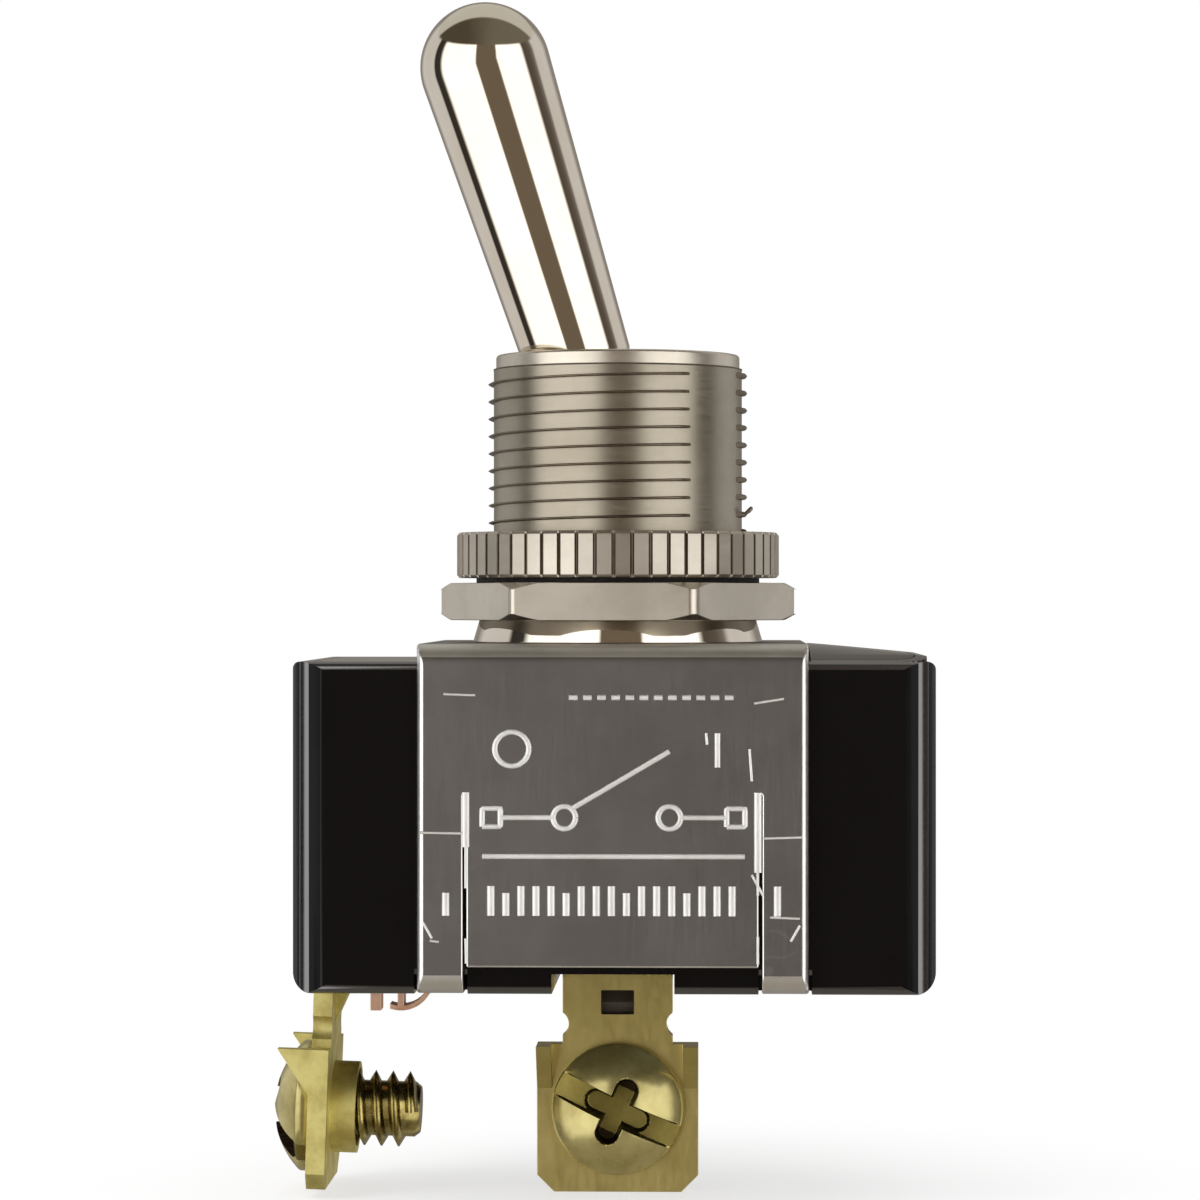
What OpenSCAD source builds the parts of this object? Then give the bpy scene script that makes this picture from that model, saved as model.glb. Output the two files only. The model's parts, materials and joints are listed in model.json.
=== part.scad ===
// Panel toggle switch, single pole, on and off, with two screw terminals.
// Millimetres. The origin is on the stem's axis, on the shoulder that the hex nut sits on.
// +Z runs up the stem, +X is the side that the lever leans away from, -Y is the front.

/* [Threaded stem] */
// Outside diameter of the stem's thread
thread_d = 11.9; // [10:0.1:14]
// Height of the stem above its shoulder
stem_h = 12.14; // [9:0.1:16]
// Height of the plain rim above the thread
rim_h = 0.64; // [0.3:0.05:1.2]
// Depth that the plain rim is turned down below the thread, on the radius
rim_step = 0.36; // [0.1:0.02:0.6]
// Diameter of the stem's mouth
mouth_d = 9.8; // [8:0.1:10.4]
// Diameter of the collar under the hex nut
collar_d = 13.3; // [12.6:0.1:14.2]
// Height of the collar
collar_h = 1; // [0.6:0.1:1.6]
// Diameter of the stem's end that is staked through the bracket
tenon_d = 11.5; // [11:0.1:12]

/* [Nuts] */
// Width of the hex nut across its flats
hex_af = 14.3; // [13:0.1:16]
// Height of the hex nut
hex_h = 1.7; // [1.2:0.1:3]
// Space left between the two nuts
nut_gap = 0.23; // [0.1:0.01:2]
// How much wider the knurled nut is than the hex nut across its flats
knurl_over = 0.5; // [0.2:0.1:3]
// Height of the knurled nut
knurl_h = 2.07; // [1.2:0.1:3]
// Number of grooves round the knurled nut
knurl_grooves = 56; // [24:1:80]

/* [Lever] */
// Height of the lever's pivot above the shoulder
pivot_h = 6.2; // [5.6:0.1:6.8]
// Lean of the lever from upright at the end of its travel, in degrees
lever_lean = 17.6; // [14:0.1:18.5]
// Length from the pivot to the middle of the lever's round tip
lever_len = 20.15; // [15:0.05:30]
// Diameter of the lever at its tip
lever_tip_d = 6; // [4:0.1:8]
// Diameter of the lever where it leaves the stem
lever_mouth_d = 4.9; // [3.6:0.1:5.2]
// Diameter of the lever's neck above its ball
lever_neck_d = 3.2; // [2.4:0.1:3.5]
// Diameter of the lever's ball
ball_d = 7.4; // [6.8:0.1:7.8]
// Diameter of the lever's tail
tail_d = 3.8; // [3.3:0.1:4]
// Length of the tail below the pivot
tail_len = 9.7; // [9:0.1:10]
// Diameter of the cross pin
pin_d = 1.6; // [1.2:0.1:2]
// Length of the cross pin
pin_len = 9.2; // [8.6:0.1:9.8]

/* [Spring plunger] */
// Height of the plunger's round tip over the rocker's axis with the lever upright
tip_rise = 2.2; // [1.9:0.1:2.6]
// Diameter of the plunger
plunger_d = 2.4; // [2:0.1:2.6]
// Length of the plunger's straight stem
plunger_len = 7.5; // [6.5:0.1:8]
// Wire diameter of the spring
spring_wire = 0.35; // [0.25:0.05:0.45]
// Turns of the spring
spring_turns = 7; // [4:1:9]

/* [Rocker] */
// Depth of the rocker's axis below the shoulder
rocker_drop = 11.5; // [11.2:0.1:12.5]
// Tilt of the rocker to each side, in degrees
rocker_tilt = 12; // [9:0.5:13]
// Width of the rocker
rocker_w = 5; // [4:0.1:6]
// Thickness of the rocker's brass strip
rocker_t = 0.8; // [0.5:0.05:1]
// Diameter of the rocker's trunnions
trunnion_d = 1.4; // [1.1:0.1:1.6]
// Distance from the housing's end to the middle of the contact
contact_inset = 6.25; // [5.85:0.05:6.8]
// Diameter of the silver contacts
contact_d = 2.6; // [2:0.1:3]
// Thickness of the moving contact's head
moving_head_h = 0.5; // [0.3:0.05:0.8]
// Thickness of the fixed contact's head
fixed_head_h = 0.8; // [0.5:0.05:1.2]
// Drop of the rocker's wings below its axis when they lie level
wing_drop = 0.8; // [0.6:0.05:1]

/* [Housing] */
// Length of the housing
body_l = 28.5; // [27.5:0.1:32]
// Width of the housing
body_w = 17; // [16:0.1:20]
// Thickness of the housing's floor
floor_t = 1.83; // [1.7:0.01:2.6]
// Thickness of the housing's walls
wall_t = 1.6; // [1.5:0.1:2]
// Radius of the housing's upright corners
corner_r = 1.6; // [0.8:0.1:2.4]
// Radius of the housing's lower ends
end_r = 1; // [0.4:0.1:1.6]
// Radius of the housing's rim and of its long lower edges
edge_r = 0.4; // [0.25:0.05:0.6]
// Width of the ledge that carries the cover
ledge_w = 0.7; // [0.4:0.05:0.9]
// Thickness of the moulded cover
cover_t = 1.2; // [1:0.1:1.4]
// Thickness of the fibre insulator
insulator_t = 0.4; // [0.2:0.05:0.6]
// Height of the raised ramp on the housing's right end
ramp_h = 0.75; // [0.3:0.05:0.78]
// Width of the channel across the housing's underside
channel_w = 5.4; // [5.2:0.1:6.5]
// Depth of that channel
channel_h = 0.9; // [0.5:0.05:0.95]

/* [Bracket] */
// Length of the bracket along the housing
bracket_l = 17.2; // [16.6:0.1:20]
// Thickness of the bracket's sheet
sheet_t = 0.8; // [0.6:0.05:0.9]
// Outside radius of the bracket's bends
bend_r = 1; // [0.95:0.05:1.4]
// Width of the four corner tabs
tab_w = 2.05; // [1.6:0.05:2.3]
// Width of the slits beside the tabs
slit_w = 0.15; // [0.1:0.05:0.5]
// Length of the slits
slit_l = 7.6; // [4:0.1:10]
// Height of the bracket's lower edge above the housing's underside
skirt_lift = 1.26; // [0.9:0.02:3]
// Length of the tabs under the housing
tab_reach = 2.9; // [2.2:0.1:3.4]

/* [Screw terminals] */
// Thickness of the terminal's brass sheet
plate_t = 0.87; // [0.7:0.01:1]
// Width of the terminal's pad
pad_w = 7.4; // [7:0.1:8.4]
// Height of the middle terminal's pad
pad_h = 6.8; // [6.6:0.1:8]
// How much shorter the end terminal's pad is
end_trim = 0.4; // [0:0.05:0.6]
// Width of the terminal's neck
neck_w = 5.05; // [4.6:0.05:5.1]
// Length of the neck below the housing's underside
neck_h = 3; // [2.7:0.1:4]
// Width of the tang inside the housing
tang_w = 3.6; // [3:0.1:4.2]
// Height of the wire lugs at the pad's upper corners
lug_h = 2.05; // [1.5:0.05:2.4]
// Thickness of the wire lugs
lug_t = 0.7; // [0.4:0.05:0.8]
// Reach of the wire lugs in front of the pad
lug_reach = 1.45; // [1:0.05:1.8]
// Size of the pad's cut corners
pad_cut = 0.78; // [0.4:0.02:1.2]
// Distance from the screw's middle to the pad's upper edge
screw_drop = 2.95; // [2.7:0.05:3.3]
// Outward lean of the end terminal, in degrees
end_lean = 2; // [0:0.5:4]
// Outside diameter of the screw's thread
screw_d = 3.5; // [3:0.1:4]
// Diameter of the screw's head
head_d = 6; // [5.4:0.1:6.1]
// Height of the screw's head
head_h = 1.85; // [1.5:0.05:2.2]
// Length of the screw under its head
shank_l = 4.9; // [4:0.1:6]
// Diameter of the drawn boss round the tapped hole
boss_d = 4.2; // [4:0.1:4.8]
// Height of the drawn boss behind the plate
boss_h = 1.15; // [0.6:0.05:1.6]
// Turn of the left screw's slot, in degrees
end_slot_turn = 40; // [0:5:180]
// Turn of the middle screw's slot, in degrees
centre_slot_turn = 25; // [0:5:180]

/* [Hidden] */
$fn = 96;

// Clearances: running parts, sliding pins, the plunger on its saddle, open contacts
run_gap = 0.12;
slide_gap = 0.08;
contact_gap = 0.1;
slot_gap = 0.1;
over = 1;

// Stem and nuts meet on the thread's pitch cylinder; the bare thread shows its full diameter.
pitch_r = thread_d / 2 - 0.25;
nut_bore_r = pitch_r + 0.05;
knurl_d = hex_af + knurl_over;
knurl_z = hex_h + nut_gap;
nuts_top = knurl_z + knurl_h;
nut_chamfer = 0.35;
nut_sink = 0.4;
stem_r = thread_d / 2;
ball_r = ball_d / 2;
seat_r = ball_r + run_gap;
throat_r = seat_r * 0.76;
throat_z = pivot_h + sqrt(seat_r * seat_r - throat_r * throat_r);
tail_swing = tail_d / 2 / cos(lever_lean) + 0.25;

// Levels below the shoulder
rim_z = -collar_h - sheet_t;
stake_h = 0.3;
stake_r = tenon_d / 2 + 0.4;
ledge_z = rim_z - insulator_t - cover_t;
strip_t = 0.5;
floor_z = -rocker_drop - wing_drop - rocker_t / 2 - moving_head_h - contact_gap
    - fixed_head_h - strip_t;
base_z = floor_z - floor_t;
skirt_z = base_z + skirt_lift;
fold_z = base_z + 0.05;

// Housing plan
inner_l = body_l - 2 * wall_t;
inner_w = body_w - 2 * wall_t;
cover_l = inner_l + 2 * ledge_w;
cover_w = inner_w + 2 * ledge_w;
cover_r = 1;
cover_gap = 0.05;
bed_l = bracket_l - 0.2;
bed_w = cover_w - 0.8;
bed_r = 0.9;
bed_gap = 0.1;
ramp_x = bracket_l / 2 + 0.1;
ramp_end = 0.2;
stop_w = 2;

// The plunger's tip seen from the rocker runs along an arc through its middle and end places.
plunger_reach = pivot_h + rocker_drop - tip_rise;
tip_x = plunger_reach * sin(lever_lean);
tip_z = pivot_h + rocker_drop - plunger_reach * cos(lever_lean);
arc_x = tip_x * cos(rocker_tilt) - tip_z * sin(rocker_tilt);
arc_z = tip_x * sin(rocker_tilt) + tip_z * cos(rocker_tilt);
arc_c = (arc_x * arc_x + arc_z * arc_z - tip_rise * tip_rise) / (2 * (arc_z - tip_rise));
saddle_r = arc_c - tip_rise + plunger_d / 2 + run_gap;
saddle_mid_r = saddle_r + rocker_t / 2;
saddle_spare = 5;
saddle_half = asin(arc_x / (arc_c - tip_rise)) + saddle_spare;
contact_x = body_l / 2 - contact_inset;
wing_in = contact_x - contact_d / 2 - 0.3;
wing_out = contact_x + contact_d / 2 + 0.6;

// Spring and its bore in the lever's tail
bore_r = plunger_d / 2 + slide_gap;
bore_top = 3;
plunger_top = plunger_reach - plunger_len;
spring_r = plunger_d / 2 - spring_wire / 2 - 0.02;

// Cradle that the rocker's trunnions lie in
cradle_t = 0.8;
ear_gap = 0.4;
ear_in = rocker_w / 2 + ear_gap;
ear_w = 3.2;
trunnion_out = 0.2;
trunnion_len = 2 * (ear_in + cradle_t + trunnion_out);
cradle_l = 5.2;
slit_x = bracket_l / 2 - tab_w;

// Terminals: the pad hangs below the neck, and the middle one stands in the channel.
pad_top = base_z - neck_h;
screw_z = pad_top - screw_drop;
end_skin = 0.5;
end_x = -(body_l / 2 - end_skin - plate_t / 2);
leg_z = floor_z + strip_t;
leg_len = 3.3;
leg_bend = plate_t + 0.2;
strip_in = -contact_x + contact_d / 2 + 0.25;
strip_out = end_x - plate_t / 2 + leg_bend + 0.05;
strip_w = 4.8;
leg_w = 1.2;
leg_in = 3.15;
hook_step = 1.15;
straight_x = leg_in - body_l / 2;
hook_x = straight_x + hook_step;
clinch_h = 1.5;
rivet_tail = 0.4;

// ---- Shared shapes ----

module rounded_rect_2d(l, w, r) {
    square([l - 2 * r, w], center = true);
    square([l, w - 2 * r], center = true);
    for (x = [-1, 1], y = [-1, 1])
        translate([x * (l / 2 - r), y * (w / 2 - r)]) circle(r);
}

module slab(l, w, r, z, h) {
    translate([0, 0, z]) linear_extrude(h) rounded_rect_2d(l, w, r);
}

// Draws a shape given in X and Z across the whole width w in Y.
module across_y(w) {
    rotate([90, 0, 0]) linear_extrude(w, center = true) children();
}

// Draws a shape given in Y and Z across the whole length l in X.
module across_x(l) {
    rotate([90, 0, 90]) linear_extrude(l, center = true) children();
}

// A quarter bend of sheet: outside radius r, thickness t, in the quadrant of +X and +Y.
module bend_2d(r, t) {
    intersection() {
        difference() {
            circle(r);
            circle(r - t);
        }
        square(r + over);
    }
}

// A flat strip of thickness t from a to b, with a knuckle at each end that fills the bend.
module strap_2d(a, b, t) {
    run = b - a;
    knuckle_r = t / 2 + 0.03;
    translate(a) rotate(atan2(run[1], run[0])) translate([0, -t / 2]) square([norm(run), t]);
    translate(a) circle(knuckle_r);
    translate(b) circle(knuckle_r);
}

// A turned ring with both of its outer edges cut back.
module chamfered_blank(r, z, h, cut) {
    translate([0, 0, z]) rotate_extrude()
        polygon([[0, 0], [r - cut * 1.8, 0], [r, cut], [r, h - cut], [r - cut * 1.8, h], [0, h]]);
}

module lean() {
    translate([0, 0, pivot_h]) rotate([0, -lever_lean, 0]) children();
}

module tilt() {
    translate([0, 0, -rocker_drop]) rotate([0, rocker_tilt, 0]) children();
}

// ---- Stem and nuts ----

module bushing() {
    color("#a9a297") difference() {
        rotate_extrude() {
            difference() {
                polygon([[0, rim_z - stake_h], [stake_r, rim_z - stake_h], [stake_r, rim_z],
                    [tenon_d / 2, rim_z], [tenon_d / 2, -collar_h], [collar_d / 2, -collar_h],
                    [collar_d / 2, 0], [pitch_r, 0], [pitch_r, nuts_top], [stem_r, nuts_top],
                    [stem_r, stem_h - rim_h], [stem_r - rim_step, stem_h - rim_h],
                    [stem_r - rim_step, stem_h], [0, stem_h]]);
                // flared mouth, throat and the cone that the tail swings in
                polygon([[0, throat_z - 0.01], [throat_r, throat_z - 0.01], [mouth_d / 2, stem_h],
                    [mouth_d / 2, stem_h + over], [0, stem_h + over]]);
                polygon([[0, pivot_h], [seat_r, pivot_h], [seat_r, pivot_h / 3],
                    [tail_radius_at(rim_z - stake_h), rim_z - stake_h],
                    [tail_radius_at(rim_z - stake_h), rim_z - stake_h - over],
                    [0, rim_z - stake_h - over]]);
                intersection() {
                    translate([0, pivot_h]) circle(seat_r);
                    translate([0, pivot_h - over]) square([seat_r + over, seat_r + over]);
                }
            }
        }
        pin_groove();
    }
}

// Radius that the leaning tail sweeps at height z.
function tail_radius_at(z) = (pivot_h - z) * tan(lever_lean) + tail_swing;

// Two upright grooves that the cross pin slides up into, with round upper ends.
module pin_groove() {
    groove_r = pin_d / 2 + slide_gap;
    groove_l = pin_len + 2 * slide_gap;
    translate([0, 0, pivot_h]) rotate([90, 0, 0]) cylinder(r = groove_r, h = groove_l, center = true);
    bottom = rim_z - stake_h - over;
    translate([-groove_r, -groove_l / 2, bottom]) cube([2 * groove_r, groove_l, pivot_h - bottom]);
}

module nut_bore(z, h) {
    translate([0, 0, z - over]) cylinder(r = nut_bore_r, h = h + 2 * over);
    sink_r = nut_bore_r + nut_sink;
    translate([0, 0, z + h - nut_sink]) cylinder(r1 = nut_bore_r, r2 = sink_r, h = nut_sink + 0.001);
}

module hex_nut() {
    color("#b3aca0") difference() {
        intersection() {
            rotate(-8.4) cylinder(r = hex_af / 2 / cos(30), h = hex_h, $fn = 6);
            chamfered_blank(hex_af / 2 / cos(30) + 0.05, 0, hex_h, nut_chamfer);
        }
        nut_bore(0, hex_h);
        cylinder(r1 = nut_bore_r + nut_sink, r2 = nut_bore_r, h = nut_sink);
    }
}

module knurled_nut() {
    color("#b3aca0") difference() {
        intersection() {
            translate([0, 0, knurl_z]) linear_extrude(knurl_h) knurl_2d();
            chamfered_blank(knurl_d / 2, knurl_z, knurl_h, 0.22);
        }
        nut_bore(knurl_z, knurl_h);
    }
}

module knurl_2d() {
    groove = 0.26;
    difference() {
        circle(knurl_d / 2);
        for (i = [0 : knurl_grooves - 1])
            rotate(i * 360 / knurl_grooves) translate([knurl_d / 2, 0]) rotate(45)
                square(groove, center = true);
    }
}

// ---- Lever ----

module lever() {
    mouth_at = stem_h - pivot_h;
    neck_at = sqrt(ball_r * ball_r - lever_neck_d * lever_neck_d / 4);
    color("#cbc5ba") lean() difference() {
        rotate_extrude() intersection() {
            union() {
                circle(ball_r);
                translate([0, lever_len]) circle(lever_tip_d / 2);
                polygon([[0, 0], [lever_neck_d / 2, 0], [lever_neck_d / 2, neck_at],
                    [lever_mouth_d / 2, mouth_at], [lever_tip_d / 2, lever_len], [0, lever_len]]);
                translate([0, -tail_len]) square([tail_d / 2, tail_len]);
            }
            translate([0, -tail_len]) square([ball_d, tail_len + lever_len + lever_tip_d]);
        }
        rotate([90, 0, 0]) cylinder(d = pin_d, h = ball_d + over, center = true);
        translate([0, 0, -tail_len - over]) cylinder(r = bore_r, h = tail_len + over - bore_top);
    }
}

module lever_pin() {
    color("#8f8a83") lean() rotate([90, 0, 0]) cylinder(d = pin_d, h = pin_len, center = true);
}

module plunger() {
    color("#c9a55a") lean() translate([0, 0, -plunger_reach]) {
        sphere(d = plunger_d);
        cylinder(d = plunger_d, h = plunger_len);
    }
}

// Height along the spring after a share s of its turns: the first and last turn lie closed.
function coil_rise(s, length) =
    let (closed = spring_wire * 1.05, n = spring_turns, t = s * n, free = length - 2 * closed)
    t < 1 ? t * closed : t > n - 1 ? length - (n - t) * closed : closed + free * (t - 1) / (n - 2);

// One closed tube along the coil.
module coil(r, wire, length) {
    steps = 20 * spring_turns;
    sides = 8;
    points = [for (i = [0 : steps], k = [0 : sides - 1])
        let (turn = 360 * spring_turns * i / steps, a = 360 * k / sides, out = r + wire / 2 * cos(a))
        [out * cos(turn), out * sin(turn), coil_rise(i / steps, length) + wire / 2 * sin(a)]];
    walls = [for (i = [0 : steps - 1], k = [0 : sides - 1])
        let (next = (k + 1) % sides, a = i * sides, b = (i + 1) * sides)
        [a + k, b + k, b + next, a + next]];
    first = [for (k = [0 : sides - 1]) k];
    last = [for (k = [sides - 1 : -1 : 0]) steps * sides + k];
    polyhedron(points, concat(walls, [first, last]), convexity = 8);
}

module plunger_spring() {
    room = plunger_top - bore_top - spring_wire - 0.04;
    color("#9a9a98") lean() translate([0, 0, -plunger_top + spring_wire / 2 + 0.02])
        coil(spring_r, spring_wire, room);
}

// ---- Bracket, insulator, cover and housing ----

module sheet_side_2d(low_z) {
    leg_y = body_w / 2;
    translate([leg_y, low_z]) square([sheet_t, -collar_h - bend_r - low_z]);
    translate([leg_y + sheet_t - bend_r, -collar_h - bend_r]) bend_2d(bend_r, sheet_t);
    translate([0, rim_z]) square([leg_y + sheet_t - bend_r, sheet_t]);
}

module tab_side_2d() {
    leg_y = body_w / 2;
    fold_y = leg_y + sheet_t - bend_r;
    sheet_side_2d(fold_z + bend_r);
    translate([fold_y, fold_z + bend_r]) mirror([0, 1]) bend_2d(bend_r, sheet_t);
    tab_end = leg_y - tab_reach + sheet_t;
    translate([tab_end, fold_z]) square([fold_y - tab_end, sheet_t]);
}

module bracket() {
    color("#7b7977") difference() {
        union() {
            across_x(bracket_l) {
                sheet_side_2d(skirt_z);
                mirror([1, 0]) sheet_side_2d(skirt_z);
            }
            for (side = [-1, 1]) translate([side * (bracket_l - tab_w) / 2, 0, 0]) across_x(tab_w) {
                tab_side_2d();
                mirror([1, 0]) tab_side_2d();
            }
        }
        cylinder(d = tenon_d + 0.04, h = 4 * sheet_t + 2 * collar_h, center = true);
        for (side = [-1, 1]) translate([side * (slit_x - slit_w / 2), 0, skirt_z])
            cube([slit_w, body_w + 4 * sheet_t, 2 * slit_l], center = true);
    }
}

module insulator() {
    color("#5b4a3c") difference() {
        slab(bed_l - 2 * bed_gap, bed_w - 2 * bed_gap, bed_r - bed_gap, rim_z - insulator_t, insulator_t);
        translate([0, 0, rim_z - over]) cylinder(r = stake_r + 0.15, h = 2 * over);
    }
}

// The top of the right end rises towards the bracket in a shallow ramp, crowned across its width.
module ramp() {
    half_w = body_w / 2 - edge_r;
    crown_r = (half_w * half_w + ramp_h * ramp_h) / (2 * ramp_h);
    intersection() {
        slab(body_l - 2 * edge_r, body_w - 2 * edge_r, corner_r - edge_r, rim_z - 0.01, ramp_h + 0.01);
        translate([0, 0, rim_z + ramp_h - crown_r]) rotate([0, 90, 0]) cylinder(r = crown_r, h = body_l);
        across_y(body_w) polygon([[ramp_x, rim_z - 0.01], [ramp_x, rim_z + ramp_h],
            [body_l / 2, rim_z + ramp_end], [body_l / 2, rim_z - 0.01]]);
    }
}

module cover() {
    l = cover_l - 2 * cover_gap;
    w = cover_w - 2 * cover_gap;
    color("#2b2626") {
        difference() {
            slab(l, w, cover_r, ledge_z, cover_t + insulator_t);
            slab(bed_l, bed_w, bed_r, rim_z - insulator_t, insulator_t + over);
            tail_slot();
        }
        intersection() {
            ramp();
            slab(l, w, cover_r, rim_z, ramp_h);
        }
    }
}

// The slot that the lever's tail swings in.
module tail_slot() {
    slot_w = tail_d + 1;
    slot_l = 2 * tail_radius_at(ledge_z) + 0.6;
    slab(slot_l, slot_w, slot_w / 2 - 0.05, ledge_z - over, cover_t + 2 * over);
}

module housing() {
    stop_z = -rocker_drop - wing_drop - rocker_t / 2 - contact_gap;
    body_h = rim_z - base_z;
    color("#1c1a1b") {
        difference() {
            intersection() {
                slab(body_l, body_w, corner_r, base_z, body_h);
                across_y(body_w + over) outline_2d(body_l, body_h, end_r);
                across_x(body_l + over) outline_2d(body_w, body_h, edge_r);
            }
            slab(inner_l, inner_w, 0.8, floor_z, body_h);
            slab(cover_l, cover_w, cover_r, ledge_z, body_h);
            translate([-channel_w / 2, -body_w, base_z - over])
                cube([channel_w, 2 * body_w, channel_h + over]);
            for (x = [-1, 1], y = [-1, 1]) tab_pocket(x, y);
            centre_slot();
            end_slot();
            strip_slots();
            rivet_pocket();
        }
        translate([contact_x - stop_w / 2, -rocker_w / 2, floor_z - 0.01])
            cube([stop_w, rocker_w, stop_z - floor_z + 0.01]);
        difference() {
            ramp();
            slab(cover_l, cover_w, cover_r, rim_z - over, ramp_h + 2 * over);
        }
    }
}

// Side or front view of the housing: lower corners of radius low_r, upper ones of edge_r.
module outline_2d(l, h, low_r) {
    translate([-l / 2, base_z + low_r]) square([l, h - low_r - edge_r]);
    translate([-l / 2 + low_r, base_z]) square([l - 2 * low_r, h - edge_r]);
    translate([-l / 2 + edge_r, base_z + low_r]) square([l - 2 * edge_r, h - low_r]);
    for (x = [-1, 1]) {
        translate([x * (l / 2 - low_r), base_z + low_r]) circle(low_r);
        translate([x * (l / 2 - edge_r), base_z + h - edge_r]) circle(edge_r);
    }
}

// The recess that a folded tab lies in, cut back at its edge for the bend's inside.
module tab_pocket(x, y) {
    room = 0.15;
    ceiling = fold_z + sheet_t + 0.02;
    side = body_w / 2;
    inner = side - tab_reach + sheet_t - room;
    cut = bend_r - sheet_t + 0.05;
    translate([x * (bracket_l - tab_w) / 2, 0, 0]) across_x(tab_w + 2 * room)
        mirror([y < 0 ? 1 : 0, 0]) polygon([[inner, base_z - over], [inner, ceiling], [side - cut, ceiling],
            [side, ceiling + cut], [side + over, ceiling + cut], [side + over, base_z - over]]);
}

module centre_slot() {
    translate([0, 0, floor_z - floor_t / 2])
        cube([tang_w + slot_gap, plate_t + slot_gap, floor_t + 2 * over], center = true);
}

module end_slot() {
    translate([end_x, 0, floor_z - floor_t / 2])
        cube([plate_t + slot_gap, tang_w + slot_gap, floor_t + 2 * over], center = true);
    high = strip_t + leg_bend + slot_gap;
    translate([end_x - (plate_t + slot_gap) / 2, -(tang_w + slot_gap) / 2, floor_z - 0.01])
        cube([wall_t, tang_w + slot_gap, high]);
}

// ---- Rocker and its contact ----

module wing_2d(x) {
    saddle_end = [x * saddle_mid_r * sin(saddle_half), arc_c - saddle_mid_r * cos(saddle_half)];
    wing_start = level_to_rocker(x, wing_in, -wing_drop);
    strap_2d(saddle_end, wing_start, rocker_t);
    strap_2d(wing_start, level_to_rocker(x, wing_out - rocker_t / 2, -wing_drop), rocker_t);
}

// A point given beside the rocker's axis with that side level, in the rocker's own frame.
function level_to_rocker(x, along, up) =
    [x * (along * cos(rocker_tilt) - up * sin(rocker_tilt)),
    along * sin(rocker_tilt) + up * cos(rocker_tilt)];

module saddle_2d() {
    reach = (saddle_r + rocker_t + over) * tan(saddle_half);
    intersection() {
        translate([0, arc_c]) difference() {
            circle(saddle_r + rocker_t);
            circle(saddle_r);
        }
        polygon([[0, arc_c], [-reach, arc_c - saddle_r - rocker_t - over],
            [reach, arc_c - saddle_r - rocker_t - over]]);
    }
}

module contact_hole() {
    on_wing() cylinder(d = contact_d / 2 + 0.04, h = 4 * rocker_t, center = true);
}

// Places a shape on the left wing, with its Z across the strip and its middle in the strip.
module on_wing() {
    at = level_to_rocker(-1, contact_x, -wing_drop);
    translate([at[0], 0, at[1]]) rotate([0, rocker_tilt, 0]) children();
}

module rocker() {
    color("#c2a256") tilt() difference() {
        union() {
            across_y(rocker_w) {
                saddle_2d();
                wing_2d(-1);
                wing_2d(1);
            }
            rotate([90, 0, 0]) cylinder(d = trunnion_d, h = trunnion_len, center = true);
        }
        contact_hole();
    }
}

module moving_contact() {
    color("#d9d9d6") tilt() on_wing() {
        translate([0, 0, -rocker_t / 2 - moving_head_h]) cylinder(d = contact_d, h = moving_head_h);
        translate([0, 0, -rocker_t / 2]) cylinder(d = contact_d / 2, h = rocker_t);
        translate([0, 0, rocker_t / 2]) cylinder(d1 = contact_d * 0.7, d2 = contact_d / 2, h = 0.25);
    }
}

// ---- Cradle and terminals ----

module cradle() {
    ear_h = floor_z + cradle_t;
    ear_top = -rocker_drop + trunnion_d * 0.7;
    notch_r = trunnion_d / 2 + slide_gap;
    color("#b79a52") difference() {
        union() {
            translate([-cradle_l / 2, -ear_in - cradle_t, floor_z])
                cube([cradle_l, 2 * (ear_in + cradle_t), cradle_t]);
            for (y = [-1, 1])
                translate([-ear_w / 2, y > 0 ? ear_in : -ear_in - cradle_t, floor_z])
                    cube([ear_w, cradle_t, ear_top - floor_z]);
        }
        translate([0, 0, -rocker_drop]) rotate([90, 0, 0])
            cylinder(r = notch_r, h = 4 * ear_in, center = true);
        translate([-notch_r, -2 * ear_in, -rocker_drop]) cube([2 * notch_r, 4 * ear_in, rocker_drop]);
        translate([0, 0, ear_h]) cube([tang_w + 0.02, plate_t + 0.02, 3 * cradle_t], center = true);
    }
}

// Outline of the neck, from neck_top down, and of the pad, down to low, seen from the front.
module blade_2d(neck_top, low) {
    bite_r = 0.62;
    bite_z = base_z - 2.1;
    difference() {
        union() {
            translate([-neck_w / 2, pad_top - 0.5]) square([neck_w, neck_top - pad_top + 0.5]);
            polygon([[-pad_w / 2, pad_top], [-pad_w / 2, low + pad_cut], [-pad_w / 2 + pad_cut, low],
                [pad_w / 2 - pad_cut, low], [pad_w / 2, low + pad_cut], [pad_w / 2, pad_top]]);
        }
        for (x = [-1, 1]) translate([x * (neck_w / 2 + bite_r * 0.55), bite_z]) circle(bite_r);
    }
}

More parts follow.
